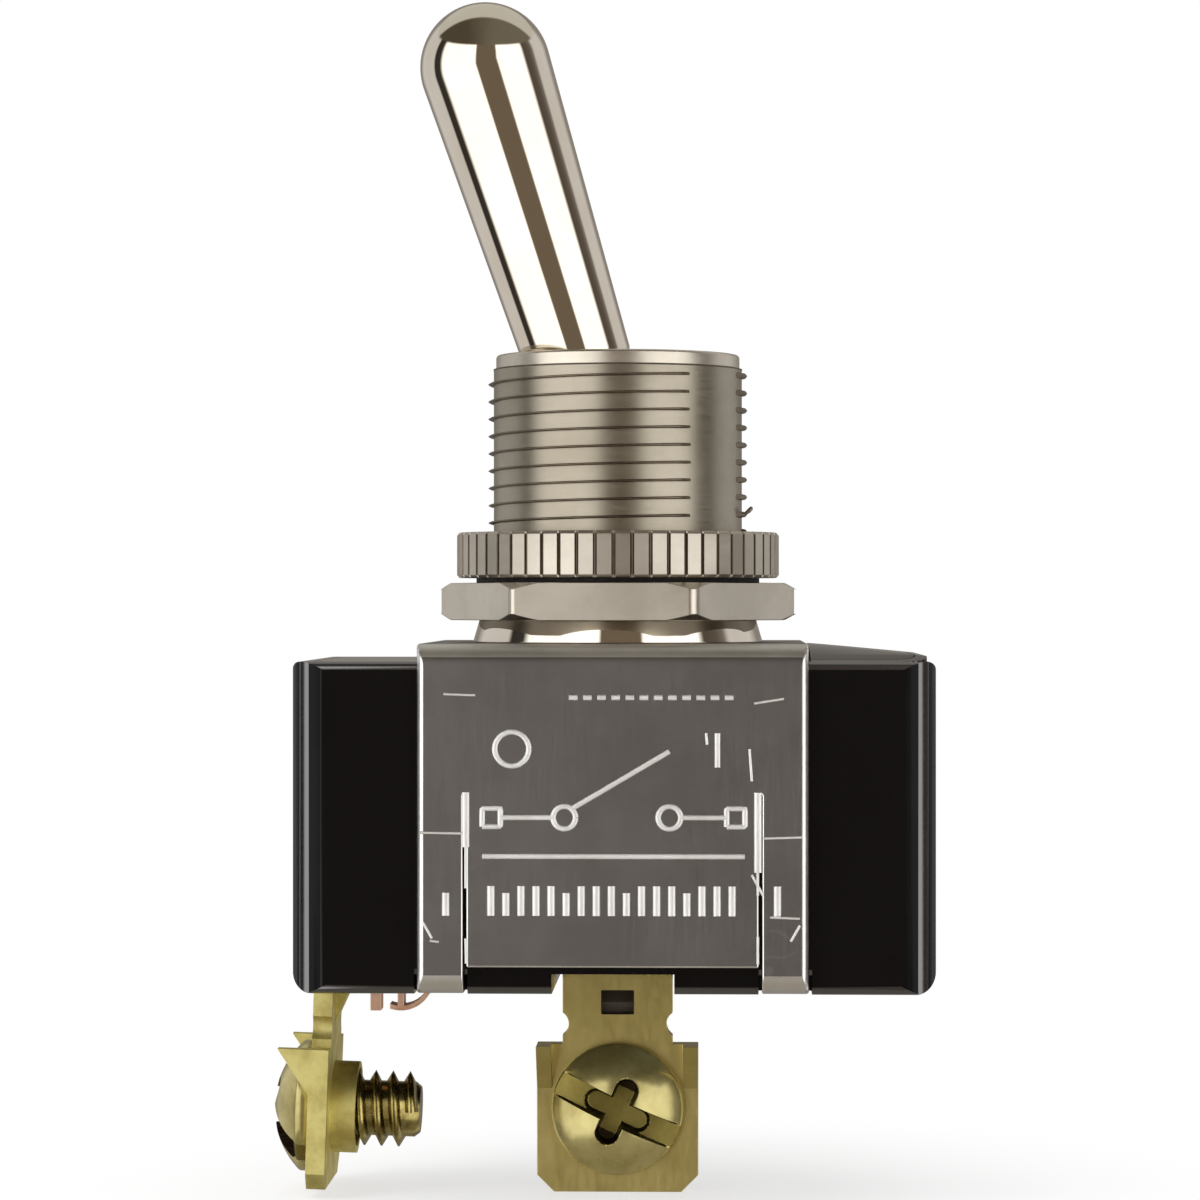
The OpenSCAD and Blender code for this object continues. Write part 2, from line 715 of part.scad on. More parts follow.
// The blade with its lanced stop tab, wire lugs, drawn boss and screw hole; its front is -Y.
module blade(neck_top, low) {
    lance_w = 1.47;
    lance_low = base_z - 1.64;
    lance_high = base_z - 0.57;
    lance_out = 0.83;
    difference() {
        union() {
            rotate([90, 0, 0]) linear_extrude(plate_t, center = true) blade_2d(neck_top, low);
            translate([0, 0, screw_z]) rotate([-90, 0, 0]) cylinder(d = boss_d, h = plate_t / 2 + boss_h);
            for (x = [-1, 1]) translate([x * (pad_w - lug_t) / 2, 0, 0]) wire_lug();
        }
        translate([0, 0, (lance_low + lance_high) / 2])
            cube([lance_w, plate_t + over, lance_high - lance_low], center = true);
        translate([0, 0, screw_z]) rotate([90, 0, 0])
            cylinder(r = screw_d / 2 + 0.05, h = 4 * boss_h + 4 * plate_t, center = true);
    }
    // stop tab, bent back until its end stands against the housing
    across_x(lance_w) polygon([[plate_t / 2 - 0.35, lance_low - 0.05], [plate_t / 2, lance_low - 0.35],
        [plate_t / 2 + lance_out, base_z - 0.02], [plate_t / 2 + lance_out - 0.45, base_z - 0.02],
        [plate_t / 2 - 0.35, lance_low + 0.5]]);
}

module wire_lug() {
    face = -plate_t / 2;
    across_x(lug_t) polygon([[face + 0.1, pad_top], [face - lug_reach, pad_top],
        [face, pad_top - lug_h], [face + 0.1, pad_top - lug_h]]);
}

module centre_terminal() {
    channel_z = base_z + channel_h;
    head_z = floor_z + cradle_t;
    upset = 0.2;
    upset_h = 0.35;
    color("#a8924c") {
        blade(channel_z, pad_top - pad_h);
        translate([-tang_w / 2, -plate_t / 2, channel_z - 0.01])
            cube([tang_w, plate_t, head_z - channel_z + 0.01]);
        translate([-tang_w / 2 - upset, -plate_t / 2 - upset, head_z])
            cube([tang_w + 2 * upset, plate_t + 2 * upset, upset_h]);
    }
}

// The end terminal stands in YZ with its screw's head outward; its tang folds in over the strip.
module end_terminal() {
    color("#a8924c") {
        end_frame() blade(base_z, pad_top - pad_h + end_trim);
        translate([end_x, 0, 0]) across_y(tang_w) {
            translate([-plate_t / 2, base_z - 0.1])
                square([plate_t, leg_z + plate_t - leg_bend - base_z + 0.1]);
            translate([leg_bend - plate_t / 2, leg_z + plate_t - leg_bend]) mirror([1, 0])
                bend_2d(leg_bend, plate_t);
            translate([leg_bend - plate_t / 2, leg_z]) square([leg_len - leg_bend, plate_t]);
        }
    }
}

// Turns the blade's front to -X and leans it out about the housing's underside.
module end_frame() {
    translate([end_x, 0, base_z]) rotate([0, end_lean, 0]) rotate(-90)
        translate([0, 0, -base_z]) children();
}

// A domed binding screw: head at -Y, shank towards +Y, origin under the head.
module terminal_screw(turn) {
    slot_w = 1.05;
    slot_deep = 0.8;
    cross_w = 1;
    cross_l = 3.1;
    cross_deep = 1.35;
    rim = 0.55;
    dome_r = (head_d * head_d / 4 + (head_h - rim) * (head_h - rim)) / (2 * (head_h - rim));
    rotate([90, 0, 0]) rotate(turn) difference() {
        union() {
            translate([0, 0, -shank_l + 0.4]) cylinder(d = screw_d, h = shank_l - 0.4);
            translate([0, 0, -shank_l]) cylinder(d1 = screw_d - 0.9, d2 = screw_d, h = 0.4);
            intersection() {
                cylinder(d = head_d, h = head_h);
                translate([0, 0, head_h - dome_r]) sphere(dome_r);
            }
        }
        translate([-head_d, -slot_w / 2, head_h - slot_deep]) cube([2 * head_d, slot_w, head_h]);
        for (a = [0, 90]) rotate(a) {
            translate([-cross_l / 2 + cross_w / 2, -cross_w / 2, head_h - cross_deep])
                cube([cross_l - cross_w, cross_w, head_h]);
            for (x = [-1, 1]) translate([x * (cross_l - cross_w) / 2, 0, head_h - cross_deep])
                cylinder(d = cross_w, h = head_h);
        }
    }
}

module centre_screw() {
    color("#b8a25a") translate([0, -plate_t / 2 - 0.02, screw_z]) terminal_screw(-centre_slot_turn);
}

module end_screw() {
    color("#b8a25a") end_frame() translate([0, -plate_t / 2 - 0.02, screw_z])
        terminal_screw(-end_slot_turn);
}

// Copper strip on the housing's floor, with its legs clinched under it.
module contact_strip() {
    color("#b8683c") difference() {
        union() {
            translate([strip_out, -strip_w / 2, floor_z]) cube([strip_in - strip_out, strip_w, strip_t]);
            straight_leg();
            hooked_leg();
        }
        translate([-contact_x, 0, floor_z])
            cylinder(d = contact_d / 2 + 0.02, h = 4 * strip_t, center = true);
    }
}

module straight_leg() {
    translate([straight_x - 0.25, -leg_w / 2, base_z - clinch_h])
        cube([0.5, leg_w, floor_t + clinch_h + 0.1]);
}

// The hooked leg is bent over at its end, and its foot curls back up to the housing.
module hooked_leg() {
    foot_r = 1.52;
    foot_t = 0.24;
    foot_back = 0.5;
    translate([hook_x - 0.15, -leg_w / 2, base_z - clinch_h + 0.1])
        cube([0.3, leg_w, floor_t + clinch_h]);
    across_y(leg_w) translate([hook_x, base_z - clinch_h + foot_r]) intersection() {
        difference() {
            circle(foot_r);
            circle(foot_r - foot_t);
        }
        translate([-foot_back, -foot_r]) square([foot_back + foot_r, clinch_h - 0.02]);
    }
}

module strip_slots() {
    for (x = [straight_x, hook_x]) translate([x, 0, floor_z - floor_t / 2])
        cube([0.6, leg_w + slot_gap, floor_t + 2 * over], center = true);
}

module fixed_contact() {
    color("#d9d9d6") translate([-contact_x, 0, floor_z]) {
        translate([0, 0, strip_t]) cylinder(d = contact_d, h = fixed_head_h);
        cylinder(d = contact_d / 2, h = strip_t);
        translate([0, 0, -rivet_tail]) cylinder(d = contact_d * 0.7, h = rivet_tail);
    }
}

module rivet_pocket() {
    translate([-contact_x, 0, floor_z - rivet_tail - 0.05]) cylinder(d = contact_d, h = over);
}

bushing();
hex_nut();
knurled_nut();
lever();
lever_pin();
plunger_spring();
plunger();
bracket();
insulator();
cover();
housing();
rocker();
moving_contact();
cradle();
centre_terminal();
centre_screw();
contact_strip();
fixed_contact();
end_terminal();
end_screw();
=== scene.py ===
# %% [markdown]
# # A panel toggle switch, dressed for the camera
#
# The solids of this switch already have their true sizes: the threaded stem, two nuts, a bat
# lever, a folded sheet bracket, a black moulded housing and two screw terminals.
# This lesson gives them edges, threads, stamped lines and metal finishes.
# Everything is in metres, in the solids' own frame: +Z up the stem, -Y towards the viewer.

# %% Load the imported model
import math

import bmesh
import bpy
from mathutils import Matrix, Vector
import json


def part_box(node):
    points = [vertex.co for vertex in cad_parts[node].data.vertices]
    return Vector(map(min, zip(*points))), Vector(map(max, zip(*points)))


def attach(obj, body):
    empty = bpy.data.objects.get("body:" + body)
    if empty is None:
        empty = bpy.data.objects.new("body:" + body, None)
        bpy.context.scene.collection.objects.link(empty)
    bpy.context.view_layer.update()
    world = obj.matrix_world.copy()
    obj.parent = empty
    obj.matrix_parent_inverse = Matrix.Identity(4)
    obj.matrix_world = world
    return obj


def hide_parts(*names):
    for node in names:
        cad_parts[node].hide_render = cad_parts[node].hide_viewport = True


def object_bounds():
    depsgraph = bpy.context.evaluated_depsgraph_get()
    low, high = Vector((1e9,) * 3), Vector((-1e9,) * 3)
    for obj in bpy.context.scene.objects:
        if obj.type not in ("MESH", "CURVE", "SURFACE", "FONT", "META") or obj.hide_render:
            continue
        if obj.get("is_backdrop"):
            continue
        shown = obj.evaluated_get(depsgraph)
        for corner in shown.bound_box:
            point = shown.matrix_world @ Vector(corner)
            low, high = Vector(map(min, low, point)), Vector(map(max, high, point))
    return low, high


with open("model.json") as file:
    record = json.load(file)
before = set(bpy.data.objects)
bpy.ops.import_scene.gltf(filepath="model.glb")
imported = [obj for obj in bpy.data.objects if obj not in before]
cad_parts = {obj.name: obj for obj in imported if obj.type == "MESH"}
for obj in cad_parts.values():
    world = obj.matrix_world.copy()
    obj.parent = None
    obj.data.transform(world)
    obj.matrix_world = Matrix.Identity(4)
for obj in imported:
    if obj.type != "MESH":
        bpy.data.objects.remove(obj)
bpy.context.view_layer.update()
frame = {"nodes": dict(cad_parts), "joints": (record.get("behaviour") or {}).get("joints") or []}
MM = 0.001
joints = {j["name"]: j for j in frame["joints"]}
print("solids:", len(frame["nodes"]))


# %% [markdown]
# ## Helpers for meshes
#
# A solid arrives as loose triangles. A copy is welded, its flat faces are joined again, and its
# sharp corners are told apart from its round walls by angle, so that metal shines evenly.

# %% Welding a copy of a solid
def new_object(name, data):
    """An object for this data, at the origin and in the scene."""
    made = bpy.data.objects.new(name, data)
    bpy.context.scene.collection.objects.link(made)
    return made


def welded_copy(node, name, flat_deg=0.6):
    """A solid's copy with its points merged and its flat faces joined."""
    mesh = frame["nodes"][node].data.copy()
    mesh.name = name
    for layer in [a.name for a in mesh.attributes if a.name == "custom_normal"]:
        mesh.attributes.remove(mesh.attributes[layer])
    shape = bmesh.new()
    shape.from_mesh(mesh)
    bmesh.ops.remove_doubles(shape, verts=shape.verts, dist=4e-7)
    bmesh.ops.dissolve_limit(
        shape, angle_limit=math.radians(flat_deg), verts=shape.verts, edges=shape.edges
    )
    shape.to_mesh(mesh)
    shape.free()
    return new_object(name, mesh)


def shade_by_angle(piece, degrees):
    """Shades a piece smooth, except across edges sharper than this."""
    mesh = piece.data
    mesh.polygons.foreach_set("use_smooth", [True] * len(mesh.polygons))
    mesh.set_sharp_from_angle(angle=math.radians(degrees))


print("the bracket's loose triangles:", len(frame["nodes"]["bracket"].data.polygons))


# %% [markdown]
# ## Helpers for edges
#
# A real edge is never knife sharp, so most copies get a narrow bevel, which catches the light.
# One width for all edges is enough for a moulded piece. Sheet and turned metal are rolled or worn
# more along some edges than others, so there a rule gives each edge its own share of the width.

# %% Softening edges
EVEN_STEPS, RULED_STEPS = 2, 4


def soften_edges(piece, width, degrees, segments=EVEN_STEPS, clamp=True):
    bevel = piece.modifiers.new("softened_edges", "BEVEL")
    bevel.width = width
    bevel.segments = segments
    bevel.limit_method = "ANGLE"
    bevel.angle_limit = math.radians(degrees)
    bevel.use_clamp_overlap = clamp
    bevel.harden_normals = True
    bevel.miter_outer = "MITER_ARC"
    return bevel


def soften_by_rule(piece, width, rule, degrees, segments=RULED_STEPS):
    """Bevels each edge by its own share of width; rule(middle, direction) gives the share."""
    shape = bmesh.new()
    shape.from_mesh(piece.data)
    share = shape.edges.layers.float.new("bevel_weight_edge")
    for edge in shape.edges:
        if len(edge.link_faces) == 2 and edge.calc_face_angle() > math.radians(degrees):
            a, b = (v.co for v in edge.verts)
            edge[share] = rule((a + b) / 2, (b - a).normalized())
    shape.to_mesh(piece.data)
    shape.free()
    bevel = soften_edges(piece, width, degrees, segments, clamp=False)
    bevel.limit_method = "WEIGHT"


print("steps round an edge, even or by rule:", EVEN_STEPS, RULED_STEPS)


# %% [markdown]
# ## Helpers for dressing a piece
#
# The export keeps plain meshes only, so what the modifiers make becomes the piece's own mesh.
# Then the piece gets its finish, the body it moves with, and the solids that it stands for.
# Polished places, and places with painted shade or painted highlights, are faces with a finish of
# their own, which is simpler here than a painted mask.

# %% Dressing a piece
def settle(piece):
    """Turns what the modifiers make into the piece's own plain mesh."""
    scene_graph = bpy.context.evaluated_depsgraph_get()
    made = bpy.data.meshes.new_from_object(piece.evaluated_get(scene_graph))
    piece.modifiers.clear()
    old = piece.data
    piece.data = made
    made.name = piece.name
    bpy.data.meshes.remove(old)
    return piece


def dress(piece, finish, body, slot, *nodes):
    """Gives a piece its finish, its body and, where it stands for solids, their nodes."""
    piece.data.materials.clear()
    piece.data.materials.append(finish)
    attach(piece, body)
    if nodes:
        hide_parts(*nodes)
    print(piece.name, "faces:", len(piece.data.polygons), "rides on", body)
    return piece


def recoat(piece, finish, picked):
    """Gives one more finish to the faces that picked(face) chooses."""
    coats = piece.data.materials
    coats.append(finish)
    for face in piece.data.polygons:
        if picked(face):
            face.material_index = len(coats) - 1


# %% [markdown]
# ## Helpers for nodes
#
# Every finish and every grown piece is a tree of nodes. A node is added with its values and its
# links in one call, so that a tree reads from top to bottom like a recipe.

# %% Adding nodes
def new_tree(name, kind, inputs, outputs):
    """A node group with these sockets; also gives its own inputs and outputs to link to."""
    tree = bpy.data.node_groups.new(name, kind)
    for label, socket, value in inputs:
        made = tree.interface.new_socket(name=label, in_out="INPUT", socket_type=socket)
        if value is not None:
            made.default_value = value
    for label, socket in outputs:
        tree.interface.new_socket(name=label, in_out="OUTPUT", socket_type=socket)
    given, result = tree.nodes.new("NodeGroupInput"), tree.nodes.new("NodeGroupOutput")
    return tree, given.outputs, result.inputs


def feed(tree, node, inputs):
    """Sets a node's sockets to values, or links them to other nodes' outputs."""
    for socket, value in inputs.items():
        if isinstance(value, bpy.types.NodeSocket):
            tree.links.new(value, node.inputs[socket])
        else:
            node.inputs[socket].default_value = value
    return node


def put(tree, kind, inputs=None):
    """Adds a node and feeds its sockets."""
    return feed(tree, tree.nodes.new(kind), inputs or {})


def math_node(tree, operation, *values):
    """A Math node fed by numbers or by other nodes' outputs."""
    node = tree.nodes.new("ShaderNodeMath")
    node.operation = operation
    return feed(tree, node, dict(enumerate(values))).outputs[0]


def vector_node(tree, operation, *values):
    """The same for vectors; the length of one is a number."""
    node = tree.nodes.new("ShaderNodeVectorMath")
    node.operation = operation
    found = "Value" if operation == "LENGTH" else "Vector"
    return feed(tree, node, dict(enumerate(values))).outputs[found]


def mix_node(tree, share, first, second):
    """Mixes two colours, each given as three numbers or as a node's output."""
    node = tree.nodes.new("ShaderNodeMix")
    node.data_type = "RGBA"
    first, second = ((*c, 1) if isinstance(c, tuple) else c for c in (first, second))
    return feed(tree, node, {"Factor": share, "A": first, "B": second}).outputs["Result"]


def ranged(tree, value, low, high, bottom=0, top=1, smooth=False):
    """Turns low..high into bottom..top, and holds what lies beyond."""
    node = tree.nodes.new("ShaderNodeMapRange")
    if smooth:
        node.interpolation_type = "SMOOTHSTEP"
    return feed(tree, node, {
        "Value": value, "From Min": low, "From Max": high, "To Min": bottom, "To Max": top,
    }).outputs["Result"]


print("node trees so far:", len(bpy.data.node_groups))


# %% [markdown]
# ## Shared surface effects
#
# Three effects come back in most finishes: fine grain left by the tool, scuffs from handling, and
# slow stains in the colour. Each is one shader group, placed in a finish with that finish's values.
# They read the solid's own coordinates, so the marks stay where they are on the metal.

# %% Shader groups for grain, scuffs and stains
VECTOR, NUMBER = "NodeSocketVector", "NodeSocketFloat"


def grain_effect():
    """Fine noise, drawn out along one direction by Stretch."""
    tree, given, result = new_tree("tool_grain", "ShaderNodeTree", [
        ("Vector", VECTOR, None), ("Stretch", VECTOR, (1, 1, 1)), ("Scale", NUMBER, 4000),
    ], [("Grain", NUMBER)])
    noise = put(tree, "ShaderNodeTexNoise", {
        "Vector": vector_node(tree, "MULTIPLY", given["Vector"], given["Stretch"]),
        "Scale": given["Scale"], "Detail": 3, "Roughness": 0.6,
    })
    tree.links.new(noise.outputs["Fac"], result["Grain"])
    return tree


def scuff_effect():
    """Thin scratch lines in patches: the edge between two levels of a warped noise."""
    tree, given, result = new_tree("handling_scuffs", "ShaderNodeTree", [
        ("Vector", VECTOR, None), ("Scale", NUMBER, 500), ("Width", NUMBER, 0.012),
    ], [("Scratch", NUMBER)])
    lines = put(tree, "ShaderNodeTexNoise", {
        "Vector": given["Vector"], "Scale": given["Scale"], "Detail": 1, "Distortion": 1.2,
    })
    near = math_node(tree, "COMPARE", lines.outputs["Fac"], 0.5, given["Width"])
    patches = put(tree, "ShaderNodeTexNoise", {
        "Vector": given["Vector"], "Scale": math_node(tree, "MULTIPLY", given["Scale"], 0.6),
        "Detail": 2,
    })
    keep = ranged(tree, patches.outputs["Fac"], 0.55, 0.68)
    tree.links.new(math_node(tree, "MULTIPLY", near, keep), result["Scratch"])
    return tree


def stain_effect():
    """Slow blotches, 0 where the surface is clean and 1 where it is dull."""
    tree, given, result = new_tree("slow_stains", "ShaderNodeTree", [
        ("Vector", VECTOR, None), ("Scale", NUMBER, 260), ("Spread", NUMBER, 0.2),
    ], [("Stain", NUMBER)])
    noise = put(tree, "ShaderNodeTexNoise", {
        "Vector": given["Vector"], "Scale": given["Scale"], "Detail": 5, "Roughness": 0.62,
    })
    low = math_node(tree, "SUBTRACT", 0.5, given["Spread"])
    high = math_node(tree, "ADD", 0.5, given["Spread"])
    level = ranged(tree, noise.outputs["Fac"], low, high, smooth=True)
    tree.links.new(level, result["Stain"])
    return tree


GRAIN, SCUFF, STAIN = grain_effect(), scuff_effect(), stain_effect()
print("effects:", GRAIN.name, SCUFF.name, STAIN.name)


# %% [markdown]
# ## One recipe for every finish
#
# A finish needs two colours, clean and dull, a roughness range, and a little relief.
# The recipe below places the three effects and joins them to one Principled shader. What stays the
# same all over, such as metallic, is set on the shader itself.

# %% The finish recipe
def rgb(*srgb):
    """A colour given as 0..255 screen values, turned into linear light."""
    return tuple(((c / 255 + 0.055) / 1.055) ** 2.4 if c > 10 else c / 255 / 12.92 for c in srgb)


def finish(name, clean, dull, rough, metallic, grain=(1, 1, 1), grain_scale=4000, relief=0.3,
           scratch=0.25, scratch_scale=500, stain_scale=260, stain_spread=0.2, specular=0.5,
           ior=1.5):
    """A material: stains change its colour, and grain and scuffs its gloss and relief."""
    mat = bpy.data.materials.new(name)
    mat.use_nodes = True
    tree = mat.node_tree
    place = put(tree, "ShaderNodeTexCoord").outputs["Object"]

    def effect(group, result, **values):
        node = tree.nodes.new("ShaderNodeGroup")
        node.node_tree = group
        return feed(tree, node, {"Vector": place, **values}).outputs[result]

    stain = effect(STAIN, "Stain", Scale=stain_scale, Spread=stain_spread)
    lines = effect(GRAIN, "Grain", Scale=grain_scale, Stretch=grain)
    marks = effect(SCUFF, "Scratch", Scale=scratch_scale)
    dulling = math_node(tree, "MULTIPLY_ADD", marks, 0.45, lines)
    height = math_node(tree, "MULTIPLY_ADD", marks, -scratch, lines)
    bump = put(tree, "ShaderNodeBump", {
        "Strength": relief, "Distance": 0.01 * MM, "Height": height,
    })
    feed(tree, tree.nodes["Principled BSDF"], {
        "Base Color": mix_node(tree, stain, rgb(*clean), rgb(*dull)), "Metallic": metallic,
        "Roughness": ranged(tree, dulling, 0.25, 0.95, *rough),
        "Specular IOR Level": specular, "IOR": ior, "Normal": bump.outputs["Normal"],
    })
    return mat


print("a middle grey in linear light:", round(rgb(128)[0], 3))


# %% [markdown]
# ## The finishes
#
# The stem and nuts are warm satin nickel, the lever the same plating polished bright, the bracket a
# greyer plated sheet, the housing glossy black phenolic. The terminals and screws are brass that
# has gone a little green, and the strip under the housing is bare copper.

# %% Making the finishes
FINISH = {
    "nickel_satin": finish("satin_nickel", (172, 164, 149), (158, 150, 134), (0.27, 0.4), 1,
                           grain=(0.15, 0.15, 3), relief=0.15),
    "nut_nickel": finish("nut_nickel", (208, 200, 187), (190, 182, 169), (0.32, 0.4), 1,
                         grain=(0.2, 0.2, 2), relief=0.06, scratch=0.1),
    "hex_nickel": finish("hex_nickel", (222, 214, 200), (204, 196, 182), (0.3, 0.38), 1,
                         grain=(0.2, 0.2, 2), relief=0.1, scratch=0.15),
    "thread_nickel": finish("thread_nickel", (132, 121, 105), (110, 98, 82), (0.3, 0.45), 1,
                            relief=0.2),
    "nickel_polished": finish("polished_nickel", (236, 228, 214), (230, 220, 204),
                              (0.02, 0.06), 1, relief=0.02, scratch=0.6, scratch_scale=220),
    "plated_sheet": finish("plated_sheet", (141, 138, 136), (131, 128, 126), (0.34, 0.42), 1,
                           grain=(3, 1, 0.12), relief=0.08, scratch_scale=330),
    # a lighter sheet for the upward-facing bend: a painted highlight
    "painted_bend_highlight": finish("painted_bend_highlight", (222, 219, 213), (206, 203, 197), (0.4, 0.5), 1,
                         grain=(0.12, 1, 1), relief=0.1),
    # near white for the rolled edges: a painted highlight
    "rolled_edge_highlight": finish("edge_glint_paint", (255, 254, 252), (240, 238, 235), (0.27, 0.36), 1,
                        relief=0.1),
    # near white for the pressed lines and slit lips: a painted highlight
    "line_highlight": finish("stroke_glint_paint", (255, 255, 254), (240, 239, 236), (0.48, 0.6), 1,
                     relief=0.3),
    "phenolic": finish("black_phenolic", (10, 9, 10), (13, 12, 13), (0.05, 0.1), 0,
                       relief=0.03, scratch=0.4, scratch_scale=400, specular=0.3),
    # a lighter, glossier black for the housing's edges: a painted highlight
    "phenolic_highlight": finish("highlight_black", (30, 29, 30), (24, 23, 24), (0.1, 0.18), 0,
                              relief=0.05, scratch=0.4, scratch_scale=400, specular=1, ior=1.8),
    "phenolic_dull": finish("dull_phenolic", (14, 13, 14), (18, 17, 18), (0.25, 0.35), 0,
                            relief=0.1, scratch_scale=400, specular=0.1),
    "terminal_brass": finish("aged_brass", (224, 208, 138), (198, 182, 112), (0.3, 0.42), 1,
                             grain=(1, 1, 0.3), relief=0.12, stain_scale=300, stain_spread=0.3),
    "brass": finish("screw_brass", (206, 194, 132), (158, 144, 86), (0.16, 0.32), 0.66,
                    relief=0.2, stain_scale=420, stain_spread=0.2),
    "thread_brass": finish("thread_brass", (190, 176, 112), (120, 104, 56), (0.2, 0.36), 1,
                           relief=0.4, stain_scale=800, stain_spread=0.15),
    # a duller, darker brass for the screw's recess and slot: painted shade
    "recess_shade_brass": finish("recess_shade_brass", (150, 138, 76), (112, 98, 48), (0.4, 0.5), 1,
                           relief=0.3),
    # a dark finish for the ring under the lip and the terminal's tongue: painted shade
    "painted_shade": finish("painted_shade", (84, 74, 60), (66, 57, 45), (0.5, 0.6), 0.3),
    # a lighter copy of the terminal brass for the edge-on left terminal: a painted highlight
    "highlight_brass": finish("highlight_brass", (236, 226, 152), (206, 192, 118), (0.5, 0.66), 1,
                         relief=0.15, stain_scale=700, stain_spread=0.15),
    # a still darker brass for the recess walls and cross-arm ends: painted shade
    "deep_shade_brass": finish("deep_shade_brass", (62, 50, 32), (44, 34, 20), (0.45, 0.6), 1, relief=0.3),
    "copper": finish("bare_copper", (255, 216, 190), (232, 172, 138), (0.3, 0.45), 1,
                     relief=0.3, stain_scale=700),
    "silver": finish("contact_silver", (226, 225, 220), (190, 188, 182), (0.15, 0.3), 1),
    "steel": finish("bright_steel", (190, 190, 190), (160, 160, 158), (0.2, 0.35), 1),
    "fibre": finish("grey_fibre", (92, 76, 62), (74, 60, 50), (0.6, 0.8), 0, relief=0.6,
                    grain=(1, 0.2, 1), grain_scale=2500),
    # the dark ring in the gap between the nuts: painted shade
    "shade_between_nuts": finish("nut_gap_shade", (34, 26, 20), (22, 17, 13), (0.5, 0.8), 0, relief=0.6),
}
print("finishes:", sorted(FINISH))


# %% [markdown]
# ## Pieces inside the housing
#
# The rocker, its cradle, the contacts, the plunger and its spring keep the solids as they are.
# They only need the right metal.

# %% Metal on the inner pieces
INNER = {
    "lever_pin": "steel", "plunger_spring": "steel", "plunger": "brass", "insulator": "fibre",
    "rocker": "brass", "moving_contact": "silver", "cradle": "terminal_brass",
    "fixed_contact": "silver",
}
for node, slot in INNER.items():
    inner = frame["nodes"][node]
    inner.data.materials.clear()
    inner.data.materials.append(FINISH[slot])
print("inner pieces:", len(INNER))


# %% [markdown]
# ## A helical ridge, made with Geometry Nodes
#
# A screw thread is one ridge wound round a cylinder. A spiral curve with a small oval section
# swept along it gives that ridge, and its radius falls to nothing at both ends, as on a real
# thread that runs out. The same tree makes the stem's thread and those of both screws.

# %% The thread tree
GEOMETRY, COUNT, COATING = "NodeSocketGeometry", "NodeSocketInt", "NodeSocketMaterial"


def sweep_oval(tree, path, half_x, half_y, facets, coating, result):
    """Sweeps an oval section along a curve, coats it, and ends the tree."""
    ring = put(tree, "GeometryNodeCurvePrimitiveCircle", {"Resolution": facets, "Radius": 1})
    size = put(tree, "ShaderNodeCombineXYZ", {"X": half_x, "Y": half_y})
    oval = put(tree, "GeometryNodeTransform", {
        "Geometry": ring.outputs[0], "Scale": size.outputs[0],
    })
    sweep = put(tree, "GeometryNodeCurveToMesh", {
        "Curve": path, "Profile Curve": oval.outputs[0], "Fill Caps": True,
    })
    smooth = put(tree, "GeometryNodeSetShadeSmooth", {"Geometry": sweep.outputs[0]})
    real = put(tree, "GeometryNodeRealizeInstances", {0: smooth.outputs[0]})
    coat = put(tree, "GeometryNodeSetMaterial", {
        "Geometry": real.outputs[0], "Material": coating,
    })
    tree.links.new(coat.outputs[0], result[0])


def thread_tree():
    tree, given, result = new_tree("wound_thread", "GeometryNodeTree", [
        ("Radius", NUMBER, 0.005), ("Turns", NUMBER, 5.0), ("Rise", NUMBER, 0.005),
        ("Crest", NUMBER, 0.00025), ("Base", NUMBER, 0.0002), ("Run Out", NUMBER, 0.05),
        ("Steps", COUNT, 96), ("Facets", COUNT, 10), ("Finish", COATING, None),
    ], [("Geometry", GEOMETRY)])
    spiral = put(tree, "GeometryNodeCurveSpiral", {
        "Resolution": given["Steps"], "Rotations": given["Turns"],
        "Start Radius": given["Radius"], "End Radius": given["Radius"],
        "Height": given["Rise"], "Reverse": True,
    })
    upright = tree.nodes.new("GeometryNodeSetCurveNormal")
    upright.mode = "Z_UP"
    feed(tree, upright, {"Curve": spiral.outputs[0]})
    along = put(tree, "GeometryNodeSplineParameter").outputs["Factor"]
    to_end = math_node(tree, "MINIMUM", along, math_node(tree, "SUBTRACT", 1, along))
    fade = ranged(tree, to_end, 0, given["Run Out"], bottom=0.02)
    taper = put(tree, "GeometryNodeSetCurveRadius", {
        "Curve": upright.outputs[0], "Radius": fade,
    })
    sweep_oval(tree, taper.outputs[0], given["Crest"], given["Base"], given["Facets"],
               given["Finish"], result)
    return tree


def grow(tree, name, mesh=None, **values):
    """Runs a Geometry Nodes tree with these inputs and keeps its result as a plain mesh."""
    carrier = new_object(name, mesh or bpy.data.meshes.new(name))
    modifier = carrier.modifiers.new(tree.name, "NODES")
    modifier.node_group = tree
    sockets = {s.name: s.identifier for s in tree.interface.items_tree if s.in_out == "INPUT"}
    for label, value in values.items():
        modifier[sockets[label.replace("_", " ")]] = value
    return settle(carrier)


THREAD = thread_tree()
print("thread inputs:", [s.name for s in THREAD.interface.items_tree if s.in_out == "INPUT"])


# %% [markdown]
# ## Turned pieces
#
# Round pieces such as the lever are turned: an outline of radii and heights is carried round an
# axis in fine even steps, so that a polished wall shows no flats.

